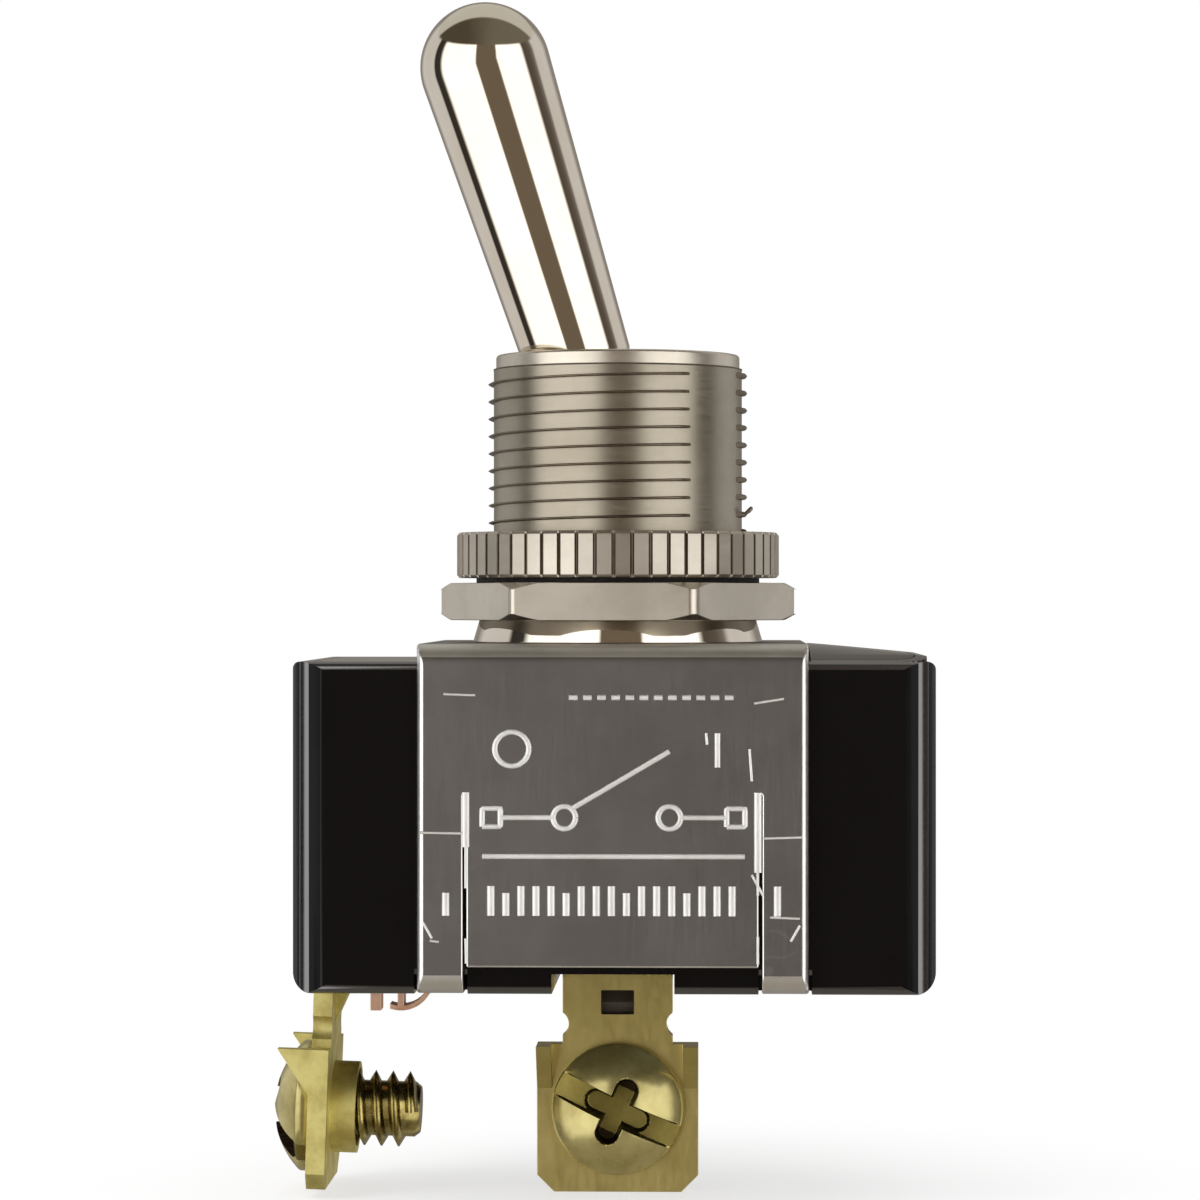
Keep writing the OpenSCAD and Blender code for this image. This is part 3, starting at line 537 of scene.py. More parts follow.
# %% Turning an outline round an axis
def skin(name, rings):
    """A closed piece from rings of points, where a ring of one point is a pole.

    Without poles at both ends, the last ring is joined to the first.
    """
    shape = bmesh.new()
    loops = [[shape.verts.new(point) for point in ring] for ring in rings]
    pairs = list(zip(loops, loops[1:]))
    if len(loops[0]) > 1 and len(loops[-1]) > 1:
        pairs.append((loops[-1], loops[0]))
    steps = max(len(loop) for loop in loops)
    for low, high in pairs:
        for i in range(steps):
            k = (i + 1) % steps
            corners = [low[i % len(low)], low[k % len(low)],
                       high[k % len(high)], high[i % len(high)]]
            shape.faces.new(list(dict.fromkeys(corners)))
    bmesh.ops.recalc_face_normals(shape, faces=shape.faces)
    mesh = bpy.data.meshes.new(name)
    shape.to_mesh(mesh)
    shape.free()
    return new_object(name, mesh)


def round_ring(radius, height, steps):
    turn = [i * 2 * math.pi / steps for i in range(steps)]
    return [(radius * math.cos(a), radius * math.sin(a), height) for a in turn]


def turned(name, outline, steps=128):
    """A closed solid of revolution about +Z from (radius, height) points; radius 0 is a pole."""
    return skin(name, [round_ring(r, z, steps if r else 1) for r, z in outline])


def arc(centre, radius, start, end, steps):
    """Outline points on a circle round (0, centre); angles in degrees up from the horizontal."""
    turn = [math.radians(start + (end - start) * i / steps) for i in range(steps + 1)]
    return [(radius * math.cos(a), centre + radius * math.sin(a)) for a in turn]


print("one arc has", len(arc(0, 1, 0, 90, 8)), "points")


# %% [markdown]
# ## The threaded stem
#
# The solid stem has a plain wall at the thread's outside diameter. Its copy is pulled in to the
# thread's root, for a wound ridge to stand on. The lip at the top was rolled, so its outer edge
# gets the widest bevel. The lip and the bore's mouth get a lighter nickel than the rest, a painted
# highlight, and the collar underneath is polished.

# %% Stem
PITCH = 0.794 * MM
CREST_R, ROOT_R = 5.95 * MM, 5.7 * MM
THREAD_LOW, THREAD_HIGH = 4.0 * MM, 11.5 * MM
WALL_R = 5.88 * MM  # what lies further out on the threaded stretch is the thread's wall
COLLAR_R, COLLAR_TOP_R = 6.4 * MM, 6.36 * MM
LIP_Z, LIP_R = 12.1 * MM, 5.5 * MM  # the lip's outer edge lies above and outside these
MOUTH_Z, MOUTH_R = 8 * MM, 4.95 * MM  # and the mouth's wall above and inside these
stem = welded_copy("bushing", "stem")
for v in stem.data.vertices:
    out = math.hypot(v.co.x, v.co.y)
    if out > WALL_R and THREAD_LOW - 0.1 * MM < v.co.z < THREAD_HIGH + 0.1 * MM:
        v.co.x *= ROOT_R / out
        v.co.y *= ROOT_R / out
    if out > COLLAR_R and abs(v.co.z) < 0.05 * MM:
        v.co.x *= COLLAR_TOP_R / out
        v.co.y *= COLLAR_TOP_R / out
shade_by_angle(stem, 32)


def lip_rule(middle, direction):
    """The lip's outer edge is rolled wide, all others a little."""
    return 1.0 if middle.z > LIP_Z and math.hypot(middle.x, middle.y) > LIP_R else 0.3


soften_by_rule(stem, 0.14 * MM, lip_rule, 40)
dress(settle(stem), FINISH["nickel_satin"], "frame", "nickel_satin", "bushing")
recoat(stem, FINISH["nickel_polished"], lambda f: f.center.z < -0.01 * MM)
# the lip and the bore's mouth get a lighter nickel: a painted highlight
recoat(stem, FINISH["hex_nickel"], lambda f: f.center.z > THREAD_HIGH + 0.02 * MM
       or f.center.z > MOUTH_Z and math.hypot(f.center.x, f.center.y) < MOUTH_R)


# %% [markdown]
# ## The stem's thread
#
# The ridge's crest reaches the solid's wall, so the stem keeps its size. A thread that a nut has
# been run over many times isn't even: this one is fuller on the right, and worn away on a strip
# beside that. Both are moves of the finished ridge's points, which a tree would make no simpler.

# %% Stem thread
def eased(value, low, high):
    """0 below low, 1 above high, and smooth between them."""
    t = min(1, max(0, (value - low) / (high - low)))
    return t * t * (3 - 2 * t)


ridge_turns = (THREAD_HIGH - THREAD_LOW - 0.1 * MM) / PITCH
THIN = 0.42  # the ridge's thickness where it was cut cleanly, as a share of where it is full
WORN_FROM, WORN_TO = (31, 37), (70, 80)  # degrees round to the right of the front
ridge = grow(THREAD, "stem_thread", Radius=ROOT_R - 0.02 * MM, Turns=ridge_turns,
             Rise=ridge_turns * PITCH, Crest=CREST_R - ROOT_R + 0.02 * MM, Base=0.15 * MM,
             Run_Out=0.06, Steps=128, Facets=8, Finish=FINISH["thread_nickel"])
for v in ridge.data.vertices:
    # the ridge is fuller on the right side
    turned_by = math.atan2(v.co.y, v.co.x) / (2 * math.pi)
    off = (v.co.z / PITCH - turned_by + 0.5) % 1 - 0.5
    full = max(0.0, math.cos(math.atan2(v.co.y, v.co.x))) ** 3
    v.co.z -= off * PITCH * (1 - (THIN + (1 - THIN) * full))
    # and worn away on a strip beside it
    round_right = math.degrees(math.atan2(v.co.x, -v.co.y))
    worn = eased(round_right, *WORN_FROM) * (1 - eased(round_right, *WORN_TO))
    out = math.hypot(v.co.x, v.co.y)
    sunk = 1 - worn * max(0, 1 - (ROOT_R - 0.03 * MM) / out)
    v.co.x *= sunk
    v.co.y *= sunk
ridge.data.transform(Matrix.Translation((0, 0, THREAD_LOW + 0.05 * MM)))
dress(ridge, FINISH["thread_nickel"], "frame", "nickel_satin")
print("stem thread turns:", round(ridge_turns, 2))


# %% [markdown]
# ## A burr and a dark line
#
# Where the thread begins, a sliver of metal was pushed up, and a thin dark ring under the lip
# paints the shade beneath it. Both are small turned pieces; the burr is bent a little as it rises.

# %% Burr, and the line under the lip
BURR_LONG = 0.74 * MM
BURR_AT, BURR_TILT = (5.6 * MM, -0.9 * MM, 4.72 * MM), math.radians(52)
burr = turned("thread_burr", [(0, 0), (0.09 * MM, 0.02 * MM), (0.07 * MM, 0.25 * MM),
                              (0.1 * MM, 0.5 * MM), (0.09 * MM, 0.68 * MM), (0, BURR_LONG)], 12)
for v in burr.data.vertices:
    v.co.x += 0.25 * v.co.z * (1 - v.co.z / BURR_LONG)
burr.data.transform(Matrix.Translation(BURR_AT) @ Matrix.Rotation(BURR_TILT, 4, "Y"))
shade_by_angle(burr, 60)
dress(burr, FINISH["thread_nickel"], "frame", "nickel_satin")

# a thin dark ring under the lip: painted shade
lip_line = turned("painted_shade", [(5.6 * MM, 11.41 * MM), (5.715 * MM, 11.45 * MM),
                                (5.715 * MM, 11.5 * MM), (5.6 * MM, 11.53 * MM)], 96)
shade_by_angle(lip_line, 30)
dress(lip_line, FINISH["painted_shade"], "frame", "nickel_satin")


# %% [markdown]
# ## The bat lever
#
# A polished lever shows every flat in its mesh, so it is turned again from its own outline instead
# of being copied: tail, ball, neck, tapered bat and round tip, in fine even rings.

# %% Lever
PIVOT = Vector(joints["lever_swing"]["pos_m"])
LEAN = math.radians(-17.6)
BALL, TAIL, BORE, NECK = 3.7 * MM, 1.9 * MM, 1.28 * MM, 1.6 * MM
BORE_TOP, TAIL_END = -3 * MM, -9.7 * MM
NECK_Z, BAT_R, BAT_Z = 3.34 * MM, 2.45 * MM, 5.94 * MM
TIP_R, TIP_Z = 3 * MM, 20.15 * MM
tail_deg = -math.degrees(math.acos(TAIL / BALL))
neck_deg = math.degrees(math.acos(NECK / BALL))
outline = [(0, BORE_TOP), (BORE, BORE_TOP), (BORE, TAIL_END + 0.1 * MM),
           (BORE + 0.1 * MM, TAIL_END), (TAIL - 0.15 * MM, TAIL_END),
           (TAIL, TAIL_END + 0.15 * MM)]
outline += arc(0, BALL, tail_deg, neck_deg, 24)
outline += [(NECK + (BAT_R - NECK) * t, NECK_Z + (BAT_Z - NECK_Z) * t) for t in (0.5, 0.97, 1)]
outline += [(BAT_R + (TIP_R - BAT_R) * t, BAT_Z + (TIP_Z - BAT_Z) * t)
            for t in (0.01, 0.03, 0.25, 0.5, 0.75)]
outline += arc(TIP_Z, TIP_R, -2.2, 88, 44) + [(0, TIP_Z + TIP_R)]
lever = turned("bat_lever", outline)
lever.data.transform(Matrix.Translation(PIVOT) @ Matrix.Rotation(LEAN, 4, "Y"))
shade_by_angle(lever, 25)
dress(lever, FINISH["nickel_polished"], "lever", "nickel_polished", "lever")


# %% [markdown]
# ## Painted shade between the nuts
#
# The narrow gap between the two nuts lies in shade, so a dark ring on the stem paints that shade.

# %% Painted shade ring
gap_low, gap_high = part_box("hex_nut")[1].z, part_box("knurled_nut")[0].z
FILL_R, FILL_OUT = 5.68 * MM, 6.5 * MM
# a dark ring in the gap between the nuts: painted shade
shade_between_nuts = turned("gap_shade_ring", [
    (FILL_R, gap_low - 0.2 * MM), (6.05 * MM, gap_low - 0.2 * MM),
    (FILL_OUT, gap_low + 0.02 * MM), (FILL_OUT, gap_high - 0.02 * MM),
    (6.0 * MM, gap_high), (FILL_R, gap_high),
], 96)
shade_by_angle(shade_between_nuts, 30)
dress(shade_between_nuts, FINISH["shade_between_nuts"], "frame", "nickel_satin")


# %% [markdown]
# ## The hex nut
#
# This solid already has its form, so a welded copy with softened edges will do. Its upright corner
# edges are worn by spanners, those on the right most, and the nut stands turned a little on the
# stem, within the round space that its corners sweep.

# %% Hex nut
NUT_TURN = math.radians(4.5)
CORNER_R = 7 * MM  # the corners' upright edges lie further out than this
WORN_LEFT, WORN_RIGHT, CRISP = 0.7, 1.1, 0.12  # shares of the bevel's width


def nut_rule(middle, direction):
    """Upright corner edges are worn wide, more on the right; all others are crisp."""
    corner = abs(direction.z) > 0.95 and math.hypot(middle.x, middle.y) > CORNER_R
    if corner:
        return WORN_LEFT if middle.x < 0 else WORN_RIGHT
    return CRISP


hex_nut = welded_copy("hex_nut", "hex_nut_piece")
hex_nut.data.transform(Matrix.Rotation(NUT_TURN, 4, "Z"))
shade_by_angle(hex_nut, 25)
soften_by_rule(hex_nut, 0.3 * MM, nut_rule, 20, segments=1)
dress(settle(hex_nut), FINISH["hex_nickel"], "hex_nut", "nickel_satin", "hex_nut")


# %% [markdown]
# ## The knurled nut
#
# Its rim is cut by 56 narrow grooves between broad flat lands. The rim is made ring by ring: one
# groove's outline is repeated round the nut, and each ring is held inside the chamfer cone.

# %% Fluted rim
GROOVES = 56
GROOVE = [(0, 1), (0.05, 0.85), (0.11, 0), (0.89, 0), (0.95, 0.85)]  # place and depth, as shares
SIDES = len(GROOVE)
LAND = 2  # the side of that outline that is the broad land between two grooves
RIM_BANDS = 5  # the faces between the rim's six outer rings


def fluted_nut(name, low, high, radius, bore, deep=0.13 * MM, chamfer=0.12 * MM):
    around = [(i + part) / GROOVES * 2 * math.pi for i in range(GROOVES) for part, _ in GROOVE]
    dips = [deep * share for _, share in GROOVE] * GROOVES
    # no two lands were rolled quite alike, so each leans a little to one side
    for i in range(GROOVES):
        lean = 0.014 * MM * math.sin(2.4 * i) * math.sin(0.9 * i + 1)
        dips[SIDES * i + LAND] += max(0, lean)
        dips[SIDES * i + LAND + 1] += max(0, -lean)
    levels = [(low, radius - chamfer), (low + chamfer * 0.9, radius - 0.02 * MM),
              (low + chamfer * 1.3, radius), (high - chamfer * 1.3, radius),
              (high - chamfer * 0.9, radius - 0.02 * MM), (high, radius - chamfer)]
    rings = []
    for height, cone in levels:
        reach = [min(cone, radius - dip) for dip in dips]
        rings.append([(r * math.cos(a), r * math.sin(a), height) for r, a in zip(reach, around)])
    rings += [[(bore * math.cos(a), bore * math.sin(a), height) for a in around]
              for height in (high, low)]
    return skin(name, rings)


low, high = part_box("knurled_nut")
knurled = fluted_nut("knurled_nut_piece", low.z, high.z, high.x, 5.98 * MM)
shade_by_angle(knurled, 28)
dress(knurled, FINISH["nut_nickel"], "knurled_nut", "nickel_satin", "knurled_nut")
# the grooves get a darker nickel than the lands between them: painted shade
recoat(knurled, FINISH["thread_nickel"], lambda f: f.index < RIM_BANDS * SIDES * GROOVES
       and f.index % SIDES != LAND and abs(f.normal.z) < 0.3)


# %% [markdown]
# ## The folded bracket
#
# Sheared sheet has one rolled edge and one sharp edge. The long outer edges of the face get the
# wide roll, all others a narrow one. What was rolled gets a near-white finish and the upper bend a
# lighter one: painted highlights, on bevels and a bend that catch real light as well.

# %% Bracket
SHEET_LOW, SHEET_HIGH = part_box("bracket")
FACE_Y, SIDE_X = SHEET_LOW.y, SHEET_HIGH.x
BEND_R = 1 * MM
BEND_Z = (SHEET_HIGH.z - BEND_R, SHEET_LOW.z + BEND_R)
NARROW = 0.16  # a plain edge's share of the wide roll
SQUARE, FLAT = 0.15, 0.985  # a rolled face's normal leans between these along an axis
BEND_FROM, BEND_TO = 0.36, 0.995  # the upper bend, by how far its normal points up


def sheet_rule(middle, direction):
    """The face's two long outer edges are rolled wide, and less and less round the bends."""
    past = max(middle.z - BEND_Z[0], BEND_Z[1] - middle.z, 0)
    inside = BEND_R - math.hypot(middle.y - FACE_Y - BEND_R, past)
    if abs(middle.x) < SIDE_X - 0.05 * MM or inside > 0.1 * MM or middle.y > FACE_Y + BEND_R:
        return NARROW
    return 1 - (1 - NARROW) * min(1, past / (0.8 * BEND_R))


bracket = welded_copy("bracket", "folded_bracket")
shade_by_angle(bracket, 30)
soften_by_rule(bracket, 0.5 * MM, sheet_rule, 40)
dress(settle(bracket), FINISH["plated_sheet"], "frame", "plated_sheet", "bracket")
# the rolled edges' near-white finish is a painted highlight
recoat(bracket, FINISH["rolled_edge_highlight"],
       lambda f: SQUARE < abs(f.normal.x) < FLAT or -FLAT < f.normal.z < -SQUARE)
# the upper bend faces up, and its lighter finish is a painted highlight
recoat(bracket, FINISH["painted_bend_highlight"], lambda f: f.center.z > BEND_Z[0]
       and BEND_FROM < f.normal.z < BEND_TO and abs(f.normal.x) < SQUARE)


# %% [markdown]
# ## Housing, cover, terminals and copper strip
#
# These solids have their forms too. Their edges are tight, so each copy gets one narrow bevel,
# and a table gives its width, the angle from which an edge counts, and each piece's finish.

# %% Welded copies with softened edges
COPIES = [
    # solid, piece, finish, slot, bevel in mm, bevel angle, shading angle
    ("housing", "moulded_housing", "phenolic", "phenolic", 0.08, 50, 35),
    ("cover", "moulded_cover", "phenolic", "phenolic", 0.06, 50, 35),
    ("centre_terminal", "middle_terminal", "terminal_brass", "terminal_brass", 0.06, 40, 30),
    # the left terminal gets a lighter copy of the terminal brass: a painted highlight
    ("end_terminal", "left_terminal", "highlight_brass", "terminal_brass", 0.06, 40, 30),
    ("contact_strip", "copper_strip", "copper", "copper", 0.05, 40, 30),
]
PIECES = {}
for node, name, finish_key, slot, width, bevel_deg, shade_deg in COPIES:
    piece = welded_copy(node, name)
    shade_by_angle(piece, shade_deg)
    soften_edges(piece, width * MM, bevel_deg)
    PIECES[name] = dress(settle(piece), FINISH[finish_key], "frame", slot, node)


# %% [markdown]
# ## Painted highlights on the corners
#
# The housing's edges get a lighter, glossier black, a painted highlight. Its upright corners keep
# that only on the stretch that faces diagonally and are dull beside it. The tongue lanced from the
# middle terminal lies in the housing's shadow, and a dark finish paints that shade on it. All three
# are picked by where their faces point or lie.

# %% Highlighted and dull corners, and the shaded tongue
ON_AXIS = 0.992  # a face whose normal comes this close to an axis is flat
UPRIGHT = 0.1  # and one whose normal rises less than this belongs to an upright corner
DIAGONAL = (0.48, 0.77)  # the stretch of an upright corner that shines
housing = PIECES["moulded_housing"]
# the edges' lighter, glossier black is a painted highlight, placed by the dull stretch beside it
recoat(housing, FINISH["phenolic_highlight"], lambda f: max(abs(c) for c in f.normal) < ON_AXIS)
recoat(housing, FINISH["phenolic_dull"], lambda f: f.material_index == 1
       and abs(f.normal.z) < UPRIGHT and not DIAGONAL[0] < abs(f.normal.x) < DIAGONAL[1])
TONGUE_X, TONGUE_LOW, TONGUE_HIGH = 0.8 * MM, -18.2 * MM, -16.3 * MM
# the lanced tongue lies in the housing's shadow; its dark finish is painted shade
recoat(PIECES["middle_terminal"], FINISH["painted_shade"],
       lambda f: abs(f.center.x) < TONGUE_X and TONGUE_LOW < f.center.z < TONGUE_HIGH)
print("recoated:", housing.name, PIECES["middle_terminal"].name)


# %% [markdown]
# ## A tree for stamped lines
#
# The face of the bracket carries lines pressed into the sheet. Every stroke is an edge path, and
# Geometry Nodes sweep a flat rounded section along all of them at once. A noise makes the width a
# little uneven, as pressed and worn lines are.

# %% Stroke tree
def stroke_tree():
    tree, given, result = new_tree("pressed_strokes", "GeometryNodeTree", [
        ("Geometry", GEOMETRY, None), ("Half Width", NUMBER, 0.00008),
        ("Height", NUMBER, 0.00003), ("Uneven", NUMBER, 0.6), ("Seed", NUMBER, 3.0),
        ("Finish", COATING, None),
    ], [("Geometry", GEOMETRY)])
    paths = put(tree, "GeometryNodeMeshToCurve", {"Mesh": given["Geometry"]})
    even = tree.nodes.new("GeometryNodeResampleCurve")
    even.mode = "LENGTH"
    feed(tree, even, {"Curve": paths.outputs[0], "Length": 0.12 * MM})
    flat = tree.nodes.new("GeometryNodeSetCurveNormal")
    flat.mode = "FREE"
    feed(tree, flat, {"Curve": even.outputs[0], "Normal": (0, -1, 0)})
    place = put(tree, "GeometryNodeInputPosition").outputs[0]
    shift = vector_node(tree, "ADD", place, given["Seed"])
    noise = put(tree, "ShaderNodeTexNoise", {"Vector": shift, "Scale": 1600})
    thin = math_node(tree, "SUBTRACT", 1, given["Uneven"])
    wide = ranged(tree, noise.outputs["Fac"], 0.3, 0.7, bottom=thin, top=1.25)
    stroke = put(tree, "GeometryNodeSetCurveRadius", {"Curve": flat.outputs[0], "Radius": wide})
    sweep_oval(tree, stroke.outputs[0], given["Height"], given["Half Width"], 8,
               given["Finish"], result)
    return tree


STROKES = stroke_tree()


def strokes(name, paths, face_y, **values):
    """One piece from open (x, z) paths in millimetres, lying in the sheet's face."""
    mesh = bpy.data.meshes.new(name + "_paths")
    points, edges = [], []
    for path in paths:
        first = len(points)
        points += [(x * MM, face_y, z * MM) for x, z in path]
        edges += [(first + i, first + i + 1) for i in range(len(path) - 1)]
    mesh.from_pydata(points, edges, [])
    return grow(STROKES, name, mesh, **values)


print("stroke inputs:", [s.name for s in STROKES.interface.items_tree if s.in_out == "INPUT"])


# %% [markdown]
# ## The lines on the bracket
#
# They are a plain diagram of a single-pole switch with its on bar and off ring, a row of ticks, a
# dashed line, and a few scores and scratches from handling. The bright lips of the two slits are
# strokes too. All strokes are near white, a painted highlight on raised lines. All places are in
# millimetres on the sheet's face.

# %% Diagram, ticks, scores and scratches
def ring(x, z, r, n=20):
    return [(x + r * math.cos(2 * math.pi * i / n), z + r * math.sin(2 * math.pi * i / n))
            for i in range(n + 1)]


def box_path(x0, z0, x1, z1):
    return [(x0, z0), (x1, z0), (x1, z1), (x0, z1), (x0, z0)]


diagram = [
    [(-4.9, -8.6), (-2.6, -8.6)], ring(-2.1, -8.6, 0.5), [(-1.75, -8.2), (2.5, -5.7)],
    ring(2.5, -8.6, 0.5), [(3.0, -8.6), (5.0, -8.6)], box_path(-5.7, -9.0, -4.9, -8.2),
    box_path(5.0, -9.0, 5.8, -8.2), ring(-4.4, -5.6, 0.75, 28), [(4.6, -6.4), (4.6, -4.9)],
    [(-5.7, -10.3), (5.8, -10.3)],
]
ticks = [[(-7.3 + 0.66 * i, -12.9), (-7.3 + 0.66 * i, -11.6 if i % 4 else -11.9)]
         for i in range(23) if i not in (1, 2, 20, 21)]
dashes = [[(-1.9 + 0.62 * i, -3.35), (-1.9 + 0.62 * i + 0.38, -3.35)] for i in range(12)]
scores = [
    [(-8.45, -9.27), (-6.6, -9.3)], [(6.6, -9.5), (8.3, -9.45)], [(-7.4, -3.2), (-6.0, -3.25)],
    [(6.0, -5.6), (6.1, -7.0)], [(4.1, -4.9), (4.15, -5.4)], [(7.5, -3.4), (6.2, -3.6)],
    [(6.9, -12.95), (8.2, -13.0)], [(-8.3, -13.2), (-7.9, -13.9)], [(-8.0, -14.0), (-7.6, -14.05)],
    [(8.2, -13.3), (7.8, -14.0)], [(6.1, -11.1), (6.6, -12.0)],
]
slits = [[(-6.42, -7.5), (-6.42, -9.9)], [(6.36, -7.5), (6.36, -11.0)]]
slit_ends = [[(-6.42, -9.9), (-6.42, -11.7)], [(6.36, -11.0), (6.36, -12.0)],
             [(-6.42, -13.9), (-6.4, -15.0)], [(6.36, -13.8), (6.36, -15.0)]]
LINE = dict(Half_Width=0.13 * MM, Height=0.04 * MM, Uneven=0.4, Seed=3.0)
BOLD = dict(Half_Width=0.17 * MM, Height=0.05 * MM, Uneven=0.45, Seed=7.0)
FINE = dict(Half_Width=0.06 * MM, Height=0.025 * MM, Uneven=0.9, Seed=11.0)
for name, paths, size in [
    ("pressed_diagram", diagram, LINE), ("pressed_ticks", ticks, BOLD),
    ("pressed_dashes", dashes, LINE), ("sheet_scores", scores, FINE),
    ("slit_lips", slits, BOLD), ("slit_edges", slit_ends, FINE),
]:
    # the strokes' near-white finish is a painted highlight
    piece = strokes(name, paths, FACE_Y, Finish=FINISH["line_highlight"], **size)
    dress(piece, FINISH["line_highlight"], "frame", "plated_sheet")


# %% [markdown]
# ## A screw's head
#
# A binding screw has a domed head with a straight slot and a cross recess, so that either driver
# fits. Cutting them out with a boolean leaves ragged faces on a dome. Here the head is a field of
# heights instead, read at the points of many fine rings, and points near the slot's wall move on
# to it, so that it is cut straight. The shank is drawn in to the root of a coarse thread.

# %% The form of a screw's head
SCREW_CREST, SCREW_ROOT, SCREW_PITCH = 1.74 * MM, 1.26 * MM, 0.79 * MM
SHANK, HEAD_R, HEAD_H, RIM_H = 4.9 * MM, 3.0 * MM, 1.85 * MM, 0.55 * MM
DOME_R = (HEAD_R ** 2 + (HEAD_H - RIM_H) ** 2) / (2 * (HEAD_H - RIM_H))
SLOT_WALL = (0.52 * MM, 0.6 * MM)  # where the slot's wall starts and ends
SLOT_DEEP, SLOT_CROWN = 0.85 * MM, 47  # the slot's floor falls by SLOT_CROWN times x squared
ARM, ARM_WALL = 1.05 * MM, (0.4 * MM, 0.56 * MM)  # the cross's reach and half width
# the recess is cut down to its floor, which rises a little as far out as RISE_TO
RECESS_FLOOR, RECESS_RISE, RISE_TO = 0.5 * MM, 0.08 * MM, 1.5 * MM
DOME_EDGE = 0.985  # the dome's last ring, as a share of the head's radius


def dome_height(r):
    return HEAD_H - DOME_R + math.sqrt(DOME_R ** 2 - r * r)


def head_height(x, y):
    """Height of the head over its seat: a dome, less a straight slot and a cross recess."""
    r = math.hypot(x, y)
    height = dome_height(r)
    slot = 1 - eased(abs(y), *SLOT_WALL)
    slot_floor = HEAD_H - SLOT_DEEP - SLOT_CROWN * x * x
    height += slot * (min(height, slot_floor) - height)
    off_arm = min(math.hypot(max(abs(x) - ARM, 0), y), math.hypot(x, max(abs(y) - ARM, 0)))
    arm = 1 - eased(off_arm, *ARM_WALL)
    deep = RECESS_FLOOR + RECESS_RISE * min(1, r / RISE_TO) ** 2
    return height + arm * (min(height, deep) - height)


def screw_mesh(name, turn, steps=288, head_rings=64):
    """Head and plain shank, upright; the slot is turned from the x axis by turn."""
    rings = [[(0, 0, head_height(0, 0))]]
    for number in range(1, head_rings + 1):
        radius = HEAD_R * DOME_EDGE * number / head_rings
        points = []
        for i in range(steps):
            a = 2 * math.pi * i / steps
            u, v = radius * math.cos(a - turn), radius * math.sin(a - turn)
            for wall in SLOT_WALL:
                if abs(abs(v) - wall) < (SLOT_WALL[1] - SLOT_WALL[0]) / 2:
                    v = math.copysign(wall, v)
            points.append((u * math.cos(turn) - v * math.sin(turn),
                           u * math.sin(turn) + v * math.cos(turn), head_height(u, v)))
        rings.append(points)
    for radius, height in [
        (HEAD_R, RIM_H - 0.06 * MM), (HEAD_R, 0.1 * MM), (HEAD_R - 0.08 * MM, 0),
        (SCREW_ROOT, 0), (SCREW_ROOT, -SHANK + 0.25 * MM), (SCREW_ROOT - 0.2 * MM, -SHANK),
    ]:
        rings.append(round_ring(radius, height, steps))
    return skin(name, rings + [[(0, 0, -SHANK)]])


print("head's dome radius:", round(DOME_R / MM, 2), "mm")


# %% [markdown]
# ## Both screws
#
# Each screw is made upright and then laid on its own joint's axis, with its head outside. The
# recess and slot get a duller, darker brass, and their walls and the ends of the cross arm a darker
# one
# still: painted shade. The shank gets a darker brass of its own. The wound ridge gives the shank
# its turns.

# %% Both screws
SLOT_FLOOR = HEAD_H - SLOT_DEEP
RECESS_R, WALLS_R = 1.75 * MM, 2.9 * MM  # how far out the recess and its steep walls are looked for
STEEP = 0.8  # a face whose normal rises less than this is a wall


def screw_piece(node, name, joint, slot_turn):
    centre = Vector(joints[joint]["pos_m"])
    axis = Vector(joints[joint]["axis"]).normalized()
    body = joint.replace("_turn", "")
    middle = sum(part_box(node), Vector()) / 2
    inward = axis if (middle - centre).dot(axis) > 0 else -axis
    across = Vector((0, 0, -1)).cross(inward).normalized()
    upright = Matrix((across, across.cross(inward), -inward)).transposed().to_4x4()
    place = Matrix.Translation(centre) @ upright
    screw = screw_mesh(name, slot_turn)
    square_to_slot = Matrix.Rotation(-slot_turn, 3, "Z")
    low, dark, shank = set(), set(), set()
    for f in screw.data.polygons:
        r, height = f.center.xy.length, f.center.z
        v = (square_to_slot @ f.center).y
        in_recess = 0.2 * MM < height < SLOT_FLOOR - 0.07 * MM and r < RECESS_R
        in_slot = abs(v) < 0.5 * MM and 0 < height < SLOT_FLOOR + 0.01 * MM
        in_wall = (f.normal.z < STEEP and height > 0.3 * MM and r < WALLS_R
                   and height < dome_height(r) - 0.06 * MM)
        if in_recess or in_slot:
            low.add(f.index)
        if in_wall or in_recess and abs(v) > ARM:
            dark.add(f.index)
        if height < 0:
            shank.add(f.index)
    screw.data.transform(place)
    shade_by_angle(screw, 50)
    dress(screw, FINISH["brass"], body, "brass", node)
    # the recess and slot get a darker brass, and their walls a darker one still: painted shade
    recoat(screw, FINISH["recess_shade_brass"], lambda f: f.index in low)
    recoat(screw, FINISH["deep_shade_brass"], lambda f: f.index in dark)
    recoat(screw, FINISH["thread_brass"], lambda f: f.index in shank)
    rise = SHANK - 0.5 * MM
    ridge = grow(THREAD, name + "_thread", Radius=SCREW_ROOT - 0.05 * MM, Turns=rise / SCREW_PITCH,
                 Rise=rise, Crest=SCREW_CREST - SCREW_ROOT + 0.05 * MM, Base=0.3 * MM,
                 Run_Out=0.12, Steps=64, Facets=4, Finish=FINISH["thread_brass"])
    ridge.data.transform(place @ Matrix.Translation((0, 0, -SHANK + 0.35 * MM)))
    dress(ridge, FINISH["thread_brass"], body, "brass")
    print(name, "points inward along", [round(c, 2) for c in inward])


screw_piece("centre_screw", "middle_screw", "centre_screw_turn", math.radians(-25))
screw_piece("end_screw", "left_screw", "end_screw_turn", math.radians(-40))


# %% [markdown]
# ## The tent
#
# Polished metal shows what stands round it, so the world is a product tent: white walls at both
# sides, a dim gap where the camera looks in, and darker gaps beyond the walls. Only glossy rays
# see this tent. Diffuse rays get a plain even light, and the camera a white background.

